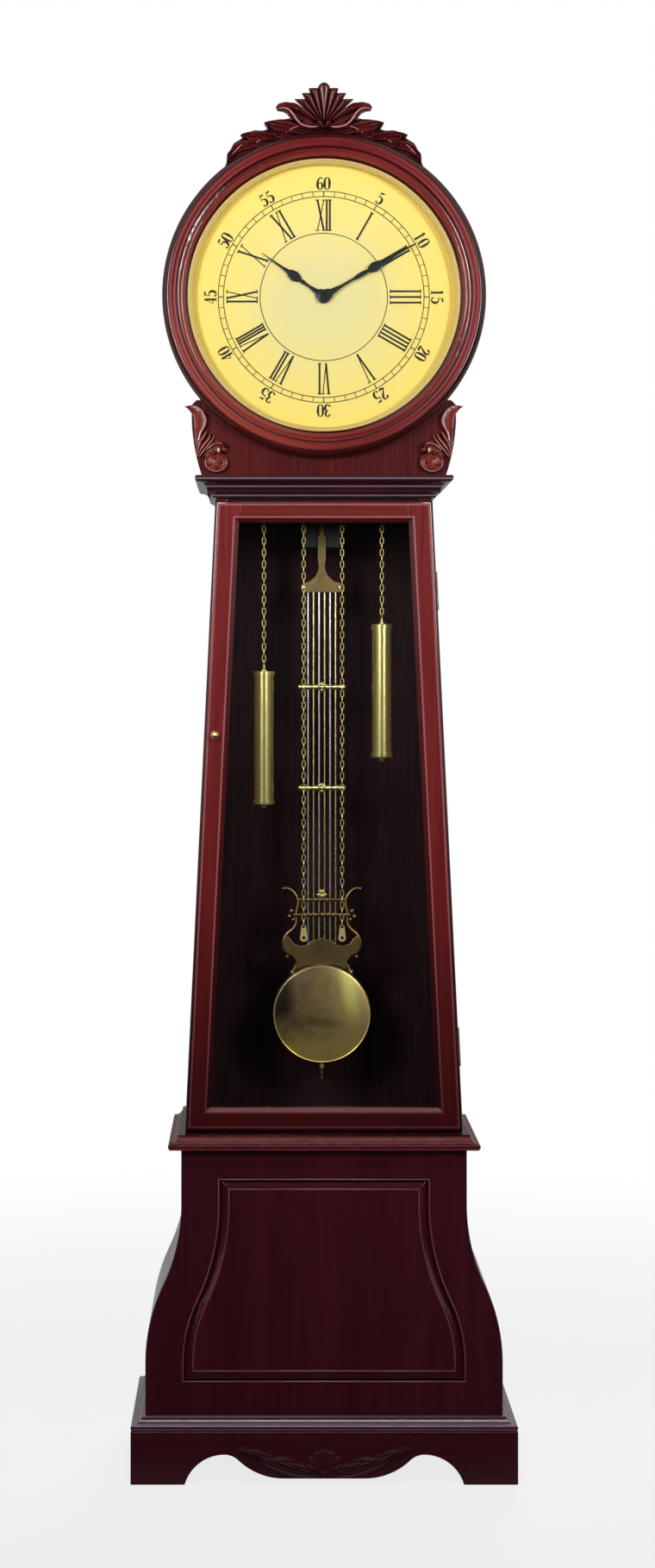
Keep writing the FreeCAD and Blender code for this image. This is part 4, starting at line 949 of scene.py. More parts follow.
# figures as brush strokes: x, z and half width in shares of the height
figures = {
    "0": [[(0.24, 0.99, 0.02), (0.08, 0.86, 0.05), (0.04, 0.5, 0.075), (0.08, 0.14, 0.05), (0.24, 0.01, 0.02),
           (0.40, 0.14, 0.05), (0.44, 0.5, 0.075), (0.40, 0.86, 0.05), (0.24, 0.99, 0.02)]],
    "1": [[(0.20, 0.02, 0.06), (0.20, 0.98, 0.06)],
          [(0.04, 0.84, 0.02), (0.12, 0.88, 0.03), (0.20, 0.98, 0.03)],
          [(0.04, 0.02, 0.02), (0.36, 0.02, 0.02)]],
    "2": [[(0.08, 0.74, 0.07), (0.10, 0.90, 0.05), (0.24, 0.98, 0.03), (0.40, 0.88, 0.06), (0.40, 0.68, 0.07),
           (0.26, 0.42, 0.05), (0.08, 0.14, 0.03), (0.05, 0.05, 0.03)],
          [(0.05, 0.07, 0.05), (0.20, 0.09, 0.06), (0.36, 0.05, 0.06), (0.46, 0.20, 0.02)]],
    "3": [[(0.08, 0.80, 0.06), (0.12, 0.93, 0.04), (0.25, 0.98, 0.03), (0.39, 0.86, 0.06), (0.38, 0.66, 0.06),
           (0.22, 0.53, 0.025)],
          [(0.22, 0.53, 0.025), (0.40, 0.44, 0.06), (0.44, 0.26, 0.07), (0.36, 0.08, 0.06),
           (0.22, 0.02, 0.03), (0.09, 0.08, 0.04), (0.06, 0.20, 0.06)]],
    "4": [[(0.34, 0.02, 0.06), (0.34, 0.98, 0.06)], [(0.34, 0.98, 0.02), (0.03, 0.30, 0.02)],
          [(0.03, 0.28, 0.025), (0.48, 0.28, 0.025)], [(0.20, 0.02, 0.02), (0.47, 0.02, 0.02)]],
    "5": [[(0.10, 0.94, 0.05), (0.26, 0.92, 0.05), (0.42, 0.97, 0.03)],
          [(0.10, 0.95, 0.02), (0.07, 0.54, 0.02)],
          [(0.07, 0.54, 0.02), (0.22, 0.62, 0.03), (0.40, 0.50, 0.06), (0.44, 0.30, 0.075),
           (0.36, 0.10, 0.06), (0.22, 0.02, 0.03), (0.09, 0.07, 0.04), (0.06, 0.18, 0.06)]],
    "6": [[(0.42, 0.86, 0.05), (0.32, 0.97, 0.03), (0.18, 0.90, 0.04), (0.06, 0.62, 0.065),
           (0.05, 0.32, 0.075), (0.12, 0.09, 0.05), (0.25, 0.02, 0.025), (0.40, 0.12, 0.05),
           (0.44, 0.32, 0.07), (0.38, 0.50, 0.05), (0.25, 0.57, 0.025), (0.12, 0.48, 0.03),
           (0.06, 0.38, 0.03)]],
}
figureWork = {
    "room": 0.58,  # of the height, for one figure
    "margin": 0.03,
    "weight": 1.4,  # times every brush width
}


def smoothed(points, steps):
    # a smooth line through points that may hold any count of numbers
    found = []
    for i in range(len(points) - 1):
        before = points[max(i - 1, 0)]
        here = points[i]
        there = points[i + 1]
        after = points[min(i + 2, len(points) - 1)]
        for k in range(steps):
            t = k / steps
            point = []
            for a, b, c, d in zip(before, here, there, after):
                bend = (2 * a - 5 * b + 4 * c - d) * t * t + (3 * b - a - 3 * c + d) * t ** 3
                point.append(0.5 * (2 * b + (c - a) * t + bend))
            found.append(tuple(point))
    found.append(tuple(points[-1]))
    return found


def brushed(points):
    line = smoothed(points, 5) if len(points) > 2 else points
    sides = []
    for i, (x, z, half) in enumerate(line):
        fromX, fromZ = line[max(i - 1, 0)][:2]
        toX, toZ = line[min(i + 1, len(line) - 1)][:2]
        length = math.hypot(toX - fromX, toZ - fromZ) or 1.0
        reach = half * figureWork["weight"] / length
        nx = (fromZ - toZ) * reach
        nz = (toX - fromX) * reach
        sides.append(((x + nx, z + nz), (x - nx, z - nz)))
    return [[sides[i][0], sides[i][1], sides[i + 1][1], sides[i + 1][0]] for i in range(len(sides) - 1)]


def figureShapes(word, height):
    shapes = []
    room = figureWork["room"]
    for k, letter in enumerate(word):
        start = (k - len(word) / 2) * room + figureWork["margin"]
        for stroke in figures[letter]:
            for strip in brushed(stroke):
                shapes.append([((start + x) * height, z * height) for x, z in strip])
    return shapes


def makeDialPrint():
    outlines = []
    for radius in (dialPrint["trackOut"], dialPrint["trackIn"], dialPrint["innerCircle"]):
        outlines += hoop(radius, dialPrint["line"])
    for i in range(60):
        half = dialPrint["division"] * (dialPrint["hourDivision"] if i % 5 == 0 else 1.0) / 2
        near = dialPrint["trackIn"]
        far = dialPrint["trackOut"]
        bar = [(-half, near), (half, near), (half, far), (-half, far)]
        outlines.append(turned(bar, math.radians(6 * i), 0.0))
    high = dialPrint["minuteHigh"] - dialPrint["minuteLow"]
    for hour in range(1, 13):
        angle = math.radians(30 * hour)
        for shape in romanShapes(*roman["names"][hour - 1]):
            outlines.append(turned(shape, angle, dialPrint["romanLow"]))
        for shape in figureShapes(str(5 * hour), high):
            outlines.append(turned(shape, angle, dialPrint["minuteLow"]))
    return settle(inkSheet(outlines), "dial_print", "case", "black_lacquer", "ink")


makeDialPrint()
print("dial printed")


# carving: a grid swept into a leaf, a fan or a boss, then given a flat back

def relief(across, along, shape, back):
    # shape(u, v) gives x, z and the height in front of the back plane, in mm; u and v run from 0 to 1
    piece = added(bpy.ops.mesh.primitive_grid_add, x_subdivisions=across, y_subdivisions=along, size=1.0)
    bpy.ops.object.mode_set(mode="EDIT")
    bpy.ops.mesh.select_all(action="SELECT")
    bpy.ops.mesh.extrude_region_move(TRANSFORM_OT_translate={"value": (0, 0, 1.0)})
    bpy.ops.object.mode_set(mode="OBJECT")
    for v in piece.data.vertices:
        front = v.co.z > 0.5
        x, z, height = shape(v.co.x + 0.5, v.co.y + 0.5)
        v.co = (x * mm, back - (height * mm if front else 0.0), z * mm)
    smooth(faced(piece, 0.002), 50)
    return piece


def eased(t):
    return t * t * (3 - 2 * t)


def between(values, share):
    place = share * (len(values) - 1)
    i = min(int(place), len(values) - 2)
    t = eased(place - i)
    return values[i] * (1 - t) + values[i + 1] * t


def pointOn(line, share):
    k = share * (len(line) - 1)
    i = min(int(k), len(line) - 2)
    t = k - i
    return [a * (1 - t) + b * t for a, b in zip(line[i], line[i + 1])], line[i], line[i + 1]


def leafShape(section, spine, halves, crown):
    line = smoothed(spine, 8)

    def shape(u, v):
        (x, z), start, end = pointOn(line, v)
        dx = end[0] - start[0]
        dz = end[1] - start[1]
        length = math.hypot(dx, dz) or 1.0
        s = 2 * u - 1
        half = between(halves, v)
        return x - dz / length * half * s, z + dx / length * half * s, between(crown, v) * section(s, v)

    return shape


def bladeShape(inner, outer, crown, section):
    # a leaf drawn by its two edges
    near = smoothed(inner, 8)
    far = smoothed(outer, 8)

    def shape(u, v):
        x0, z0 = pointOn(near, v)[0]
        x1, z1 = pointOn(far, v)[0]
        return x0 + (x1 - x0) * u, z0 + (z1 - z0) * u, between(crown, v) * section(2 * u - 1, v)

    return shape


def arch(s):
    return math.sqrt(max(0.0, 1 - s * s))


def lipped(side):
    # a hollowed blade with a rolled lip on one side
    def section(s, v):
        lip = math.exp(-((s * side - 0.74) / 0.20) ** 2)
        return 0.34 + 0.30 * arch(s) + 0.42 * lip - 0.10 * math.exp(-((s * side - 0.25) / 0.25) ** 2)
    return section


def scooped(side):
    # rises from a thin edge to a rolled lip on the other side
    def section(s, v):
        t = (1 + s * side) / 2
        lip = math.exp(-((t - 0.90) / 0.09) ** 2)
        return 0.26 + 0.36 * t ** 1.5 + 0.40 * lip - 0.12 * max(0.0, (t - 0.94) / 0.06)
    return section


def hollowed(side):
    # a shallow hollow with a narrow rolled lip on one side
    def section(s, v):
        t = (1 + s * side) / 2
        lip = math.exp(-((t - 0.94) / 0.045) ** 2)
        return 0.66 - 0.05 * math.sin(math.pi * t) + 0.26 * lip - 0.25 * max(0.0, (0.08 - t) / 0.08)
    return section


def veined(count):
    # a domed leaf with slanting cuts
    def section(s, v):
        return 0.35 + 0.5 * arch(s) + 0.20 * math.cos(2 * math.pi * count * (v + 0.28 * abs(s)))
    return section


def ribbed(s, v):
    return 0.25 + 0.75 * arch(s)


def fanShape(midZ, reach, fan, ribs, near, low, high, cut):
    # a scallop: broad ribs from a hub, each with a rounded end
    def shape(u, v):
        k = u * ribs
        d = 2 * (k - min(int(k), ribs - 1)) - 1
        angle = math.radians(fan * (u - 0.5))
        edge = between(reach, u) * (1 - 0.09 * d ** 4)
        radius = near + (edge - near) * v
        ridge = math.sqrt(max(0.0, 1 - 0.98 * d * d))
        swell = low + (high - low) * v ** 1.3
        end = arch(max(0.0, (v - 0.86) / 0.14))
        height = swell * (1 - cut + cut * ridge) * (0.45 + 0.55 * end)
        return radius * math.sin(angle), midZ + radius * math.cos(angle), height

    return shape


def shellShape(midZ, ends, bounds, near, low, high, cut):
    # ribs from a hub, each cut off level, so that the outline steps down from a round middle
    ribs = 2 * len(ends) - 1
    edges = [-b for b in reversed(bounds)] + bounds

    def shape(u, v):
        k = u * ribs
        rib = min(int(k), ribs - 1)
        share = k - rib
        d = 2 * share - 1
        angle = math.radians(edges[rib] * (1 - share) + edges[rib + 1] * share)
        away = abs(rib - len(ends) + 1)
        edge = ends[away] / math.cos(angle) if away else ends[0] * (1 - 0.10 * d * d)
        radius = near + (edge - near) * v
        swell = low + (high - low) * v ** 1.3
        end = arch(max(0.0, (v - 0.88) / 0.12))
        deep = cut * (1 - 0.45 * v)
        height = swell * (1 - deep + deep * arch(0.99 * d)) * (0.45 + 0.55 * end)
        return radius * math.sin(angle), midZ + radius * math.cos(angle), height

    return shape


def cupShape(midX, midZ, wide, high, height):
    # a shallow cup with a rolled rim
    def shape(u, v):
        angle = 2 * math.pi * u
        rim = math.exp(-((v - 0.86) / 0.10) ** 2)
        level = 0.62 + 0.12 * (1 - v) + 0.28 * rim
        edge = 0.4 + 0.6 * arch(max(0.0, (v - 0.88) / 0.12))
        return midX + wide * v * math.sin(angle), midZ + high * v * math.cos(angle), height * level * edge

    return shape


def bossShape(midX, midZ, radius, height):
    def shape(u, v):
        angle = 2 * math.pi * u
        x = midX + radius * v * math.sin(angle)
        return x, midZ + radius * v * math.cos(angle), height * math.sqrt(1 - 0.96 * v * v)

    return shape


def flipped(piece):
    pick(piece)
    bpy.ops.object.duplicate()
    copy = bpy.context.object
    copy.scale.x = -1
    return faced(placed(copy))


def both(piece):
    return [piece, flipped(piece)]


def wireLine(points, radii, flat=1.0):
    # a smooth wire through points of x, y and z in mm, pressed flat along y
    line = smoothed([(x, y, z, r) for (x, y, z), r in zip(points, radii)], 5)
    piece = wireMesh([(x * mm, y * mm / flat, z * mm, r) for x, y, z, r in line])
    piece.scale.y = flat
    placed(piece)
    smooth(piece, 60)
    return piece


def lipPair(points, radius, back):
    # a rolled edge on both sides of the middle; points hold x, z and the height over the back
    steps = len(points)
    radii = [radius * (0.55 + 0.45 * math.sin(math.pi * i / (steps - 1))) for i in range(steps)]
    return both(wireLine([(x, back / mm - height, z) for x, z, height in points], radii))


crest = {
    "stand": 4.0,  # in front of the head's board
    "seat": 208.8,  # the turned ring's edge
    "band": {"spread": 68.0, "wide": 13.0, "high": 9.0},
    # the middle rib first, with the angle where each rib ends
    "shell": {
        "hub": 219.0,
        "ends": [54.6, 47.4, 41.0, 33.2, 22.0],
        "bounds": [9.5, 22.5, 36.0, 50.0, 65.0],
        "rise": (3.0, 9.0, 15.5),  # inner radius, height there and height at the rim
        "cut": 0.6,
    },
    "calyx": {
        "spine": [(0.3, 218), (11, 218.2), (22, 222.6), (31, 230.2), (39.5, 238), (48, 241.8), (55.5, 242.2),
                  (61, 240)],
        "halves": [6.5, 7.0, 9.4, 10.6, 9.6, 7.0, 5.4, 3.0],
        "crown": [15, 16, 18, 19, 19, 18, 15, 10],
    },
    "lip": [(9, 215.4, 15.5), (15, 214.3, 17), (22, 214.9, 18.5), (29, 217.4, 19), (35.5, 223.5, 19.5),
            (40, 230.3, 19.5), (45.5, 236.2, 19), (52, 238.6, 17.5), (58.5, 238.4, 14.5)],
    "veins": [[(49.8, 207.6, 11.5), (44, 211.5, 12.5), (38.5, 214.6, 13), (30, 216.9, 13)],
              [(87, 195.5, 10.5), (82, 199, 11), (77, 201.5, 11)],
              [(124, 173.5, 9.5), (117, 181.5, 10), (111, 188.5, 10), (105.5, 193.5, 9.5)]],
    "bud": {
        "spine": [(1.0, 214), (5.0, 219.5), (8.0, 225)],
        "halves": [2.4, 4.4, 2.2],
        "crown": [17, 20, 16],
    },
    "lipWire": 1.5,
    "veinWire": 0.9,
    # first and last angle, outer radii from one to the other, crown
    "leaves": [(7.0, 19.2, [229, 231.5, 233, 235], 14.0), (15.5, 27.6, [221, 225.5, 230, 232.8], 12.5),
               (23.0, 37.4, [226, 228, 227.5, 221, 209.6], 11.5)],
}


def makeCrest():
    back = boardFace - crest["stand"] * mm
    dial = ringMid.z / mm
    seat = crest["seat"]
    band = crest["band"]
    shell = crest["shell"]

    def bandShape(u, v):
        angle = math.radians(band["spread"] * (u - 0.5))
        thin = 0.2 + 0.8 * math.cos(math.pi * (u - 0.5)) ** 0.6
        radius = seat + band["wide"] * v * thin
        return radius * math.sin(angle), dial + radius * math.cos(angle), band["high"] - 2.0 * v

    def sideLeaf(first, last, tops, crown):
        # runs round the ring and ends in a raised point
        def shape(u, v):
            angle = math.radians(first + (last - first) * v)
            top = between(tops, v)
            foot = seat - 1.5
            low = foot + (top - foot) * 0.92 * max(0.0, (v - 0.80) / 0.20) ** 1.8
            radius = low + (top - low) * u
            wave = 0.64 + 0.22 * math.sin(math.pi * u) + 0.18 * math.cos(2 * math.pi * (2.2 * u - 1.6 * v))
            return radius * math.sin(angle), dial + radius * math.cos(angle), crown * wave

        return shape

    def raised(leaf):
        return dict(leaf, spine=[(x, dial + z) for x, z in leaf["spine"]])

    fan = shellShape(dial + shell["hub"], shell["ends"], shell["bounds"], *shell["rise"], shell["cut"])
    parts = [relief(64, 6, bandShape, back), relief(108, 26, fan, back)]
    sides = [(30, 56, leafShape(scooped(-1), **raised(crest["calyx"]))),
             (10, 18, leafShape(ribbed, **raised(crest["bud"])))]
    sides += [(20, 30, sideLeaf(*leaf)) for leaf in crest["leaves"]]
    for across, along, shape in sides:
        parts += both(relief(across, along, shape, back))
    standIn(joined(parts), "crest_carving", "crest")
    lips = []
    for line in [crest["lip"]] + crest["veins"]:
        radius = crest["lipWire"] if line is crest["lip"] else crest["veinWire"]
        lips += lipPair([(x, dial + z, height) for x, z, height in line], radius, back)
    # the rolled lips and veins are stained pale as painted highlights
    settle(joined(lips), "crest_lips", "case", "carved_mahogany", "lip")


corner = {
    "blade": {
        "inner": [(178.6, 1383.6), (167, 1384.2), (157.2, 1378.2), (151.8, 1368), (152.6, 1359.5),
                  (157.3, 1350.8), (160, 1341), (159.5, 1331), (157.5, 1322)],
        "outer": [(178.8, 1383), (174.5, 1379.2), (170.3, 1373.5), (168.3, 1366), (167.6, 1357),
                  (167.2, 1349), (166.6, 1340), (164.8, 1330.5), (161.5, 1321.5)],
        "crown": [5, 9, 11.5, 12, 11.5, 10.5, 10, 9.5, 8],
        "lip": {"points": 7, "inset": (0.9, -0.6), "height": 0.90, "wire": 1.1},  # along the inner edge
    },
    # spine, half widths and crown of each flute beside the blade
    "flutes": [
        ([(151.5, 1352), (155, 1345), (159.5, 1337), (162.5, 1327), (163, 1319)],
         [1.2, 3.4, 3.6, 2.8, 1.4], 11.0),
        ([(146, 1347.5), (149, 1341.5), (154.5, 1334.5), (159.5, 1326.5), (162, 1319)],
         [1.2, 3.2, 3.4, 2.6, 1.2], 10.5),
        ([(141.3, 1346), (144.5, 1339.5), (150.5, 1332), (156.5, 1324.5), (161, 1318)],
         [1.2, 3.0, 3.2, 2.4, 1.2], 10.0),
    ],
    "scroll": {
        "spine": [(125.5, 1328), (130, 1332), (138, 1332.4), (145.5, 1329), (152.5, 1322), (159, 1315)],
        "halves": [2.8, 5.2, 5.8, 5.4, 4.2, 2.0],
        "crown": [9, 11.5, 12.5, 12, 11, 9],
    },
    "cup": (139.2, 1311.6, 15.8, 14.2, 12.5),  # middle, half width, half height, relief
    "cupLip": {"share": 0.87, "height": 11.2, "first": 100.0, "last": 285.0, "points": 9},
    # middle, radius and height of each small knop
    "bosses": [(147, 1327, 17.0, 5.0), (128.6, 1327.4, 4.8, 12.5), (141.0, 1317.6, 4.4, 12.0),
               (133.6, 1311.6, 4.0, 11.6), (146.8, 1309.4, 4.2, 11.8), (138.4, 1304.6, 3.6, 11.2)],
    "ridges": [[(146.5, 1344.5, 8.5), (149.5, 1339.5, 10), (154, 1334, 10.5), (158, 1328, 10)],
               [(142.5, 1344, 8), (145, 1338.5, 9.5), (150.5, 1331.8, 10), (156.5, 1324.3, 9.8),
                (160.5, 1318.5, 9)],
               [(131, 1334.6, 9.5), (138, 1335.6, 11), (145.5, 1332.2, 11), (151.5, 1326.6, 10)]],
    "ridgeWire": 0.9,
}


def makeCorners():
    # drawn on the right of the neck, heights from the floor
    blade = corner["blade"]
    parts = [
        relief(30, 64, bladeShape(blade["inner"], blade["outer"], blade["crown"], hollowed(-1)), boardFace),
        relief(24, 40, leafShape(scooped(1), **corner["scroll"]), boardFace),
        relief(48, 24, cupShape(*corner["cup"]), boardFace),
    ]
    for spine, halves, crown in corner["flutes"]:
        shape = leafShape(ribbed, spine, halves, [crown * 0.8, crown, crown * 0.9])
        parts.append(relief(12, 30, shape, boardFace))
    for boss in corner["bosses"]:
        parts.append(relief(32, 9, bossShape(*boss), boardFace))
    standIn(joined(both(joined(parts))), "corner_carvings", "corner")
    lip = blade["lip"]
    inX, inZ = lip["inset"]
    edge = list(zip(blade["inner"], blade["crown"]))[:lip["points"]]
    lips = lipPair([(x + inX, z + inZ, c * lip["height"]) for (x, z), c in edge], lip["wire"], boardFace)
    work = corner["cupLip"]
    midX, midZ, wide, high = corner["cup"][:4]
    ring = []
    for i in range(work["points"]):
        angle = math.radians(work["first"] + (work["last"] - work["first"]) * i / (work["points"] - 1))
        x = midX + wide * work["share"] * math.sin(angle)
        ring.append((x, midZ + high * work["share"] * math.cos(angle), work["height"]))
    for ridge in [ring] + corner["ridges"]:
        lips += lipPair(ridge, corner["ridgeWire"], boardFace)
    # the rolled lips and ridges are stained pale as painted highlights
    settle(joined(lips), "corner_lips", "case", "carved_mahogany", "lip")


apron = {
    "shell": {
        "hub": 17.0,
        "reach": [24, 28, 30, 28, 24],
        "fan": 168.0,
        "ribs": 7,
        "rise": (2.0, 3.0, 5.4),  # inner radius, height there and height at the rim
        "cut": 0.5,
    },
    "boss": (0.0, 15.5, 6.0, 5.6),
    "scroll": {"spine": [(14, 19), (30, 23), (48, 30), (66, 33), (86, 41), (104, 47), (110, 43)],
               "halves": [3.0, 5.6, 6.2, 5.2, 5.0, 3.6, 1.2], "crown": [4.5, 5.4, 5.4, 5, 5, 4.4, 2.4]},
    "under": {"spine": [(10, 12), (28, 14), (46, 18), (66, 25), (84, 33)],
              "halves": [1.6, 4.0, 4.6, 4.0, 1.2], "crown": [3.6, 4.8, 4.8, 4.2, 2.0]},
    "curl": (107.0, 46.0, 4.6, 4.8),
}


def makeApronCarving():
    shell = apron["shell"]
    fan = fanShape(shell["hub"], shell["reach"], shell["fan"], shell["ribs"], *shell["rise"], shell["cut"])
    parts = [relief(57, 18, fan, apronFace), relief(20, 7, bossShape(*apron["boss"]), apronFace)]
    sides = [(12, 48, leafShape(veined(4), **apron["scroll"])),
             (10, 30, leafShape(lipped(-1), **apron["under"])),
             (18, 6, bossShape(*apron["curl"]))]
    for across, along, shape in sides:
        parts += both(relief(across, along, shape, apronFace))
    return standIn(joined(parts), "apron_carving", "baseCarved")


makeCrest()
makeCorners()
makeApronCarving()
print("carving cut")


# hands: spade blades about a drop-shaped hub

hands = {
    "hub": 8.8,
    "thick": 1.0,
    "cap": {"radius": 3.6, "height": 2.2},
    # back: from the front of the hand's box to the back of its blade; marks: reach and half width
    "hour_hand": {
        "angle": 305.0,
        "back": 1.5,
        "arbor": 2.6,
        "marks": [(0, 8.0), (6, 7.2), (13, 3.0), (24, 1.7), (30, 2.0), (33, 3.0), (36, 2.0), (40, 4.8),
                  (46, 6.8), (51, 5.6), (58, 2.6), (66, 1.5), (98, 0.35)],
    },
    "minute_hand": {
        "angle": 60.0,
        "back": 3.2,
        "arbor": 1.65,
        "marks": [(0, 8.0), (6, 7.2), (14, 3.6), (28, 1.9), (42, 1.6), (52, 2.9), (60, 3.0), (66, 2.2),
                  (70, 4.9), (76, 6.6), (82, 5.2), (88, 3.0), (112, 1.7), (140, 0.35)],
    },
}


def handBlade(node):
    work = hands[node]
    marks = work["marks"]
    turn = math.radians(work["angle"])
    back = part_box(node)[0].y + work["back"] * mm

    def shape(u, v):
        reach = marks[-1][0] * v
        i = max(k for k in range(len(marks) - 1) if marks[k][0] <= reach)
        t = eased((reach - marks[i][0]) / (marks[i + 1][0] - marks[i][0]))
        half = (marks[i][1] * (1 - t) + marks[i + 1][1] * t) * (2 * u - 1)
        x = reach * math.sin(turn) + half * math.cos(turn)
        z = ringMid.z / mm + reach * math.cos(turn) - half * math.sin(turn)
        return x, z, hands["thick"] * (0.7 + 0.3 * arch(2 * u - 1))

    blade = relief(9, 140, shape, back)
    hub = relief(32, 6, bossShape(0, ringMid.z / mm, hands["hub"], hands["thick"] * 1.15), back)
    return [blade, hub, arborMesh(node)]


def arborMesh(node):
    # the tube or arbor that carries the hand
    low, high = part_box(node)
    rod = placed(added(bpy.ops.mesh.primitive_cylinder_add, vertices=32, radius=hands[node]["arbor"] * mm,
                       depth=high.y - low.y, location=(ringMid.x, (low.y + high.y) / 2, ringMid.z),
                       rotation=(math.pi / 2, 0, 0)))
    smooth(rod, 30)
    return rod


def makeHands():
    for node in ("hour_hand", "minute_hand"):
        parts = handBlade(node)
        if node == "minute_hand":  # the nut over the arbor's end
            cap = hands["cap"]
            shape = bossShape(0, ringMid.z / mm, cap["radius"], cap["height"])
            parts.append(relief(28, 8, shape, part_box(node)[0].y + cap["height"] * mm))
        standIn(joined(parts), node, "black")


makeHands()
print("hands set to ten past ten")


# pendulum ornament

def tube(points, radii, y, flat=0.75):
    # a drawn scroll in the pendulum's plane, a little flattened front to back
    return wireLine([(x, y / mm, z) for x, z in points], radii, flat)


def ball(x, y, z, radius):
    piece = placed(added(bpy.ops.mesh.primitive_uv_sphere_add, segments=20, ring_count=12, radius=radius * mm,
                         location=(x * mm, y, z * mm)))
    smooth(piece, 60)
    return piece


def slab(outline, y, thick, edge):
    # a flat plate with eased edges from an outline in mm
    corners = [(x * mm, y - thick * mm / 2, z * mm) for x, z in outline]
    piece = pushed(corners, [list(range(len(corners)))], thick * mm)
    smooth(piece, sharpAngle)
    bevelled(piece, edge)
    applyAll(piece)
    return piece


pendulumMid = spot("pendulum_steel_rods").y
lyre = {
    "plate": [(0, 687), (6, 684.5), (14, 683), (19, 677.5), (28, 676), (37, 678.5), (42, 686), (46, 690),
              (50, 684), (51, 673), (47, 667), (39, 662.5), (35, 657), (33.5, 650), (33, 645), (26, 648.3),
              (18, 650.9), (9, 651.6), (0, 650)],
    "plateThick": 4.6,
    "plateEdge": 0.8,
    "arm": {
        "points": [(51, 752.5), (45, 752.5), (38.5, 748.5), (33.5, 741), (31.6, 732), (33.2, 724.5),
                   (34.5, 715), (34.2, 706), (38.5, 698.5), (46, 692), (51, 683), (50.5, 672),
                   (44.5, 665.5), (39, 664)],
        "radii": [2.6, 2.2, 2.2, 2.4, 2.6, 2.8, 2.8, 2.8, 3.0, 3.2, 3.2, 2.8, 2.4, 2.0],
    },
    "armBall": (51.0, 752.5, 3.2),
    "volutes": [(40.5, 722.5, 3.8), (43.5, 715.5, 4.0), (38.5, 711.0, 3.0)],
    "hook": (46.5, 661.5, 3.0),
    "foot": {"points": [(30, 656), (34, 650), (37.5, 644), (40, 641)], "radii": [2.8, 2.6, 2.4, 2.2]},
    "footBall": (40.0, 641.0, 3.8),
    "bars": [(737.5, 33.0, 2.3), (717.5, 38.0, 2.7)],  # height, reach and radius
    "barBeads": [0.0, 8.0, 16.0, 24.0],
    "beadSize": 1.35,  # times the bar's radius
    "finial": [(0.0, 742.5, 3.6), (-4.4, 744.0, 3.0), (4.4, 744.0, 3.0), (0.0, 748.6, 3.4)],
}


def makeLyre():
    y = pendulumMid
    half = lyre["plate"]
    outline = half + [(-x, z) for x, z in reversed(half[1:-1])]
    parts = [slab(outline, y, lyre["plateThick"], lyre["plateEdge"])]
    for work in (lyre["arm"], lyre["foot"]):
        parts += both(tube(work["points"], work["radii"], y))
    for x, z, radius in [lyre["armBall"], lyre["hook"], lyre["footBall"]] + lyre["volutes"]:
        parts += both(ball(x, y, z, radius))
    for z, reach, radius in lyre["bars"]:
        parts.append(tube([(-reach, z), (0, z), (reach, z)], [radius, radius, radius], y, 1.0))
        for x in lyre["barBeads"]:
            for place in sorted({x, -x}):
                parts.append(ball(place, y, z, radius * lyre["beadSize"]))
    standIn(joined(parts), "pendulum_lyre", "brassDull")
    top = [ball(x, y, z, radius) for x, z, radius in lyre["finial"]]
    settle(joined(top), "lyre_finial", "pendulum", "brass", "brassBright")


bob = {"dome": 11.0, "foot": 6.0, "rim": 7.6, "face": 0.968}


def makeBob():
    # a ball pressed to a lens with a thin rolled rim
    piece = placed(added(bpy.ops.mesh.primitive_uv_sphere_add, segments=96, ring_count=128, radius=1.0,
                         rotation=(math.pi / 2, 0, 0)))
    face = bob["face"]
    for v in piece.data.vertices:
        across = math.hypot(v.co.x, v.co.z) or 1.0
        share = math.acos(min(1.0, abs(v.co.y))) / (math.pi / 2)
        if share < face:
            height = bob["foot"] + (bob["dome"] - bob["foot"]) * (1 - (share / face) ** 2)
        else:
            t = (share - face) / (1 - face)
            height = max(bob["foot"] * (1 - t), bob["rim"] * arch(2 * t - 1))
        reach = bobRadius * share / across
        side = math.copysign(1.0, v.co.y) if share < 1 - 1e-6 else 0.0
        v.co = (v.co.x * reach, pendulumMid + side * height * mm, bobMid[1] + v.co.z * reach)
    smooth(piece, 50)
    return standIn(piece, "pendulum_bob", "bob")


crossbar = {
    "line": [(0, 4.0), (6, 4.0), (13, 2.8), (21, 4.0), (29, 2.8)],  # half of the bar: reach and radius
    "rosette": 7.0,
    "margin": 0.4,  # above and below the rosette
    "knob": 4.4,
    "petals": 8,
    "petalReach": 0.62,  # shares of the rosette's radius
    "petalSize": 0.38,
    "eyeSize": 0.55,
    "eyeStand": 1.0,
}


def makeCrossbars():
    low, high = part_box("pendulum_crossbars")
    y = pendulumMid
    rosette = crossbar["rosette"]
    inset = rosette + crossbar["margin"]
    half = crossbar["line"]
    line = [(-x, radius) for x, radius in reversed(half[1:])] + half
    parts = []
    for z in (low.z / mm + inset, high.z / mm - inset):
        parts.append(tube([(x, z) for x, radius in line], [radius for x, radius in line], y, 1.0))
        out = rosette * crossbar["petalReach"]
        for k in range(crossbar["petals"]):
            angle = 2 * math.pi * k / crossbar["petals"]
            x = out * math.sin(angle)
            parts.append(ball(x, y, z + out * math.cos(angle), rosette * crossbar["petalSize"]))
        parts.append(ball(0, y - crossbar["eyeStand"] * mm, z, rosette * crossbar["eyeSize"]))
        for x in (line[0][0], line[-1][0]):
            parts.append(ball(x, y, z, crossbar["knob"]))
    return standIn(joined(parts), "pendulum_crossbars", "brassBright")


leaderFoot = {"x": 24.0, "lift": 6.5, "radius": 4.6}


def makeLeaderKnobs():
    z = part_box("pendulum_leader")[0].z / mm + leaderFoot["lift"]
    knobs = [ball(side * leaderFoot["x"], pendulumMid, z, leaderFoot["radius"]) for side in (-1, 1)]
    return settle(joined(knobs), "leader_knobs", "pendulum", "brass", "brassBright")


makeLyre()
makeBob()
makeCrossbars()
makeLeaderKnobs()
print("pendulum dressed")


# stage, light and camera

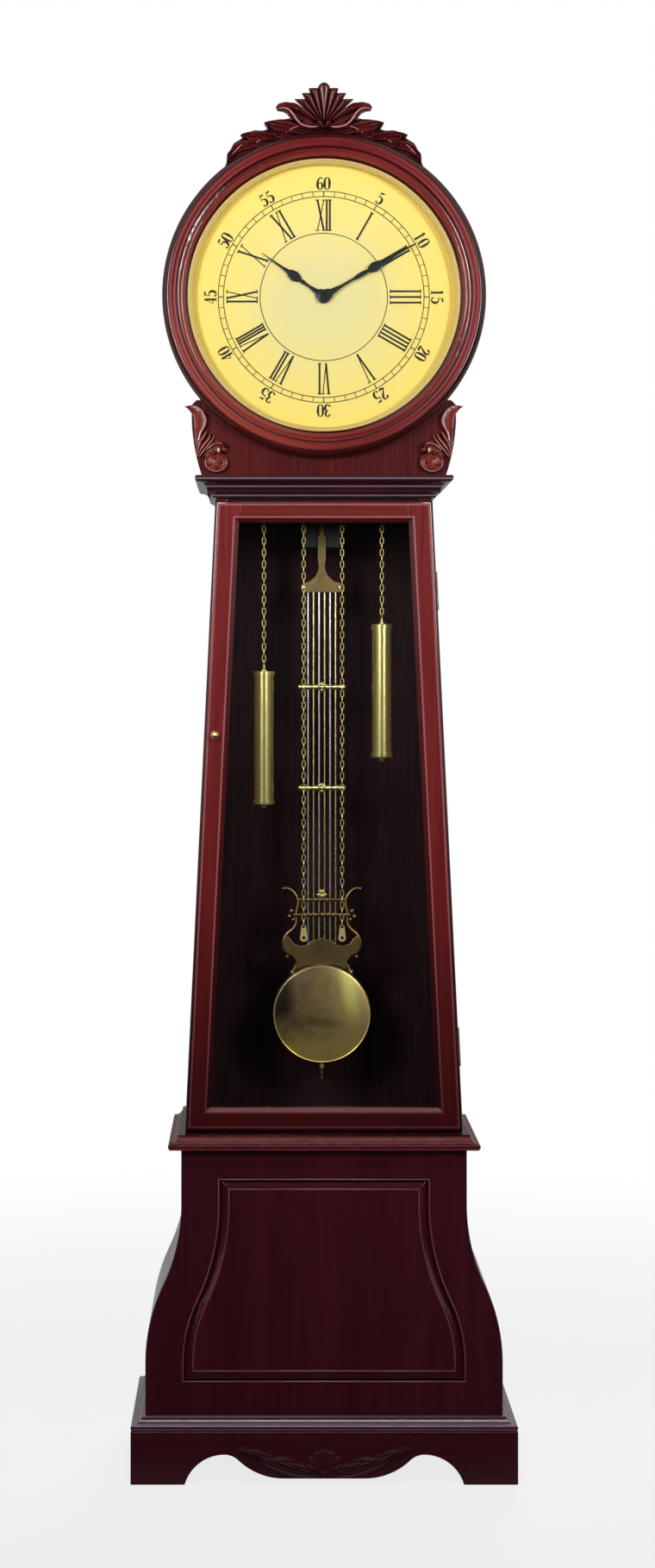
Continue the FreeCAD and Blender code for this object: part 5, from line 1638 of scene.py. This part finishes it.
def rays(look):
    path = look.node("ShaderNodeLightPath", {}, {}, "Is Camera Ray")
    outs = path.socket.node.outputs
    return path, Wire(look, outs["Is Glossy Ray"]) + Wire(look, outs["Is Transmission Ray"])


def makeStage():
    # pale floor that fades to white away from the clock and keeps its shadow
    floor = added(bpy.ops.mesh.primitive_plane_add, size=60)
    floor.name = "floor"
    look = Look("paleFloor")
    eye, mirror = rays(look)
    x, y, z = look.xyz()
    far = (x * x + y * y) ** 0.5
    behind = y.ramp(-0.3, 0.3)
    tone = look.blend(mirror * (1 - behind), (0.80, 0.80, 0.80), (0.03, 0.03, 0.03))
    matt = look.node("ShaderNodeBsdfDiffuse", {}, {"Color": tone})
    glow = look.node("ShaderNodeEmission", {}, {"Color": (1, 1, 1), "Strength": 1.0})
    share = eye * (0.80 + 0.20 * far.ramp(0.5, 2.4)) + mirror * behind * 0.25
    pale = look.node("ShaderNodeMixShader", {}, {0: share, 1: matt, 2: glow})
    floor.data.materials.append(look.finish(pale))


studio = {
    "ambient": 0.08,
    "front": 0.05,
    "sides": 0.52,
    "back": 0.25,
    "lamps": [
        # name, place, aim, width, height, watts, spread
        ("left", (-0.98, -2.05, 1.66), (0.0, 0.0, 1.84), 0.5, 0.8, 9.0, 95),
        ("right", (1.02, -2.05, 1.62), (0.0, 0.0, 1.82), 0.42, 0.8, 7.5, 95),
        ("overhead", (0.0, -1.5, 2.9), (0.0, 0.0, 0.0), 1.6, 0.3, 0.9, 32),
        ("behind", (0.5, 2.6, 1.8), (0.0, 0.0, 1.0), 1.2, 1.6, 14.0, 80),
    ],
}


def makeLight():
    world = bpy.data.worlds.new("studio")
    bpy.context.scene.world = world
    look = Look("studio", world)
    x, y, z = look.xyz()
    eye, mirror = rays(look)
    # white to the eye; reflections find a pale back, pale walls at both sides and a dim room in front
    seen = studio["front"] + studio["sides"] * x.size().ramp(0.12, 0.34) * (1 - y.ramp(-0.1, 0.4))
    seen = seen + studio["back"] * y.ramp(-0.1, 0.4)
    level = eye + (1 - eye) * (mirror * seen + (1 - mirror) * studio["ambient"])
    sky = look.node("ShaderNodeBackground", {}, {"Color": (1, 1, 1), "Strength": level})
    look.finish(sky, "ShaderNodeOutputWorld")
    for name, place, aim, width, height, watts, spread in studio["lamps"]:
        lamp = added(bpy.ops.object.light_add, type="AREA", location=place)
        lamp.name = name
        lamp.data.shape = "RECTANGLE"
        lamp.data.size = width
        lamp.data.size_y = height
        lamp.data.energy = watts
        lamp.data.spread = math.radians(spread)
        way = [a - p for a, p in zip(aim, place)]  # the lamp faces its aim
        flat = math.hypot(way[0], way[1])
        lamp.rotation_euler = (math.pi / 2 - math.atan2(-way[2], flat), 0, math.atan2(-way[0], way[1]))
        lamp.visible_camera = False
        lamp.visible_glossy = name != "behind"  # the ledges don't mirror the lamp behind the clock


photo = {
    "width": 760,
    "height": 1818,
    "eye": (-0.081, -3.761, 1.029),
    "focus": 3290.0,  # pixels
    "axis": (303.0, 790.0),
    "sensor": 36.0,
}


def makeCamera():
    camera = added(bpy.ops.object.camera_add, location=photo["eye"], rotation=(math.pi / 2, 0, 0))
    camera.data.sensor_width = photo["sensor"]
    camera.data.lens = photo["sensor"] * photo["focus"] / photo["height"]
    camera.data.shift_x = (photo["width"] / 2 - photo["axis"][0]) / photo["height"]
    camera.data.shift_y = (photo["axis"][1] - photo["height"] / 2) / photo["height"]
    bpy.context.scene.camera = camera
    bpy.context.scene.view_settings.view_transform = "Standard"


makeStage()
makeLight()
makeCamera()
print("stage lit")
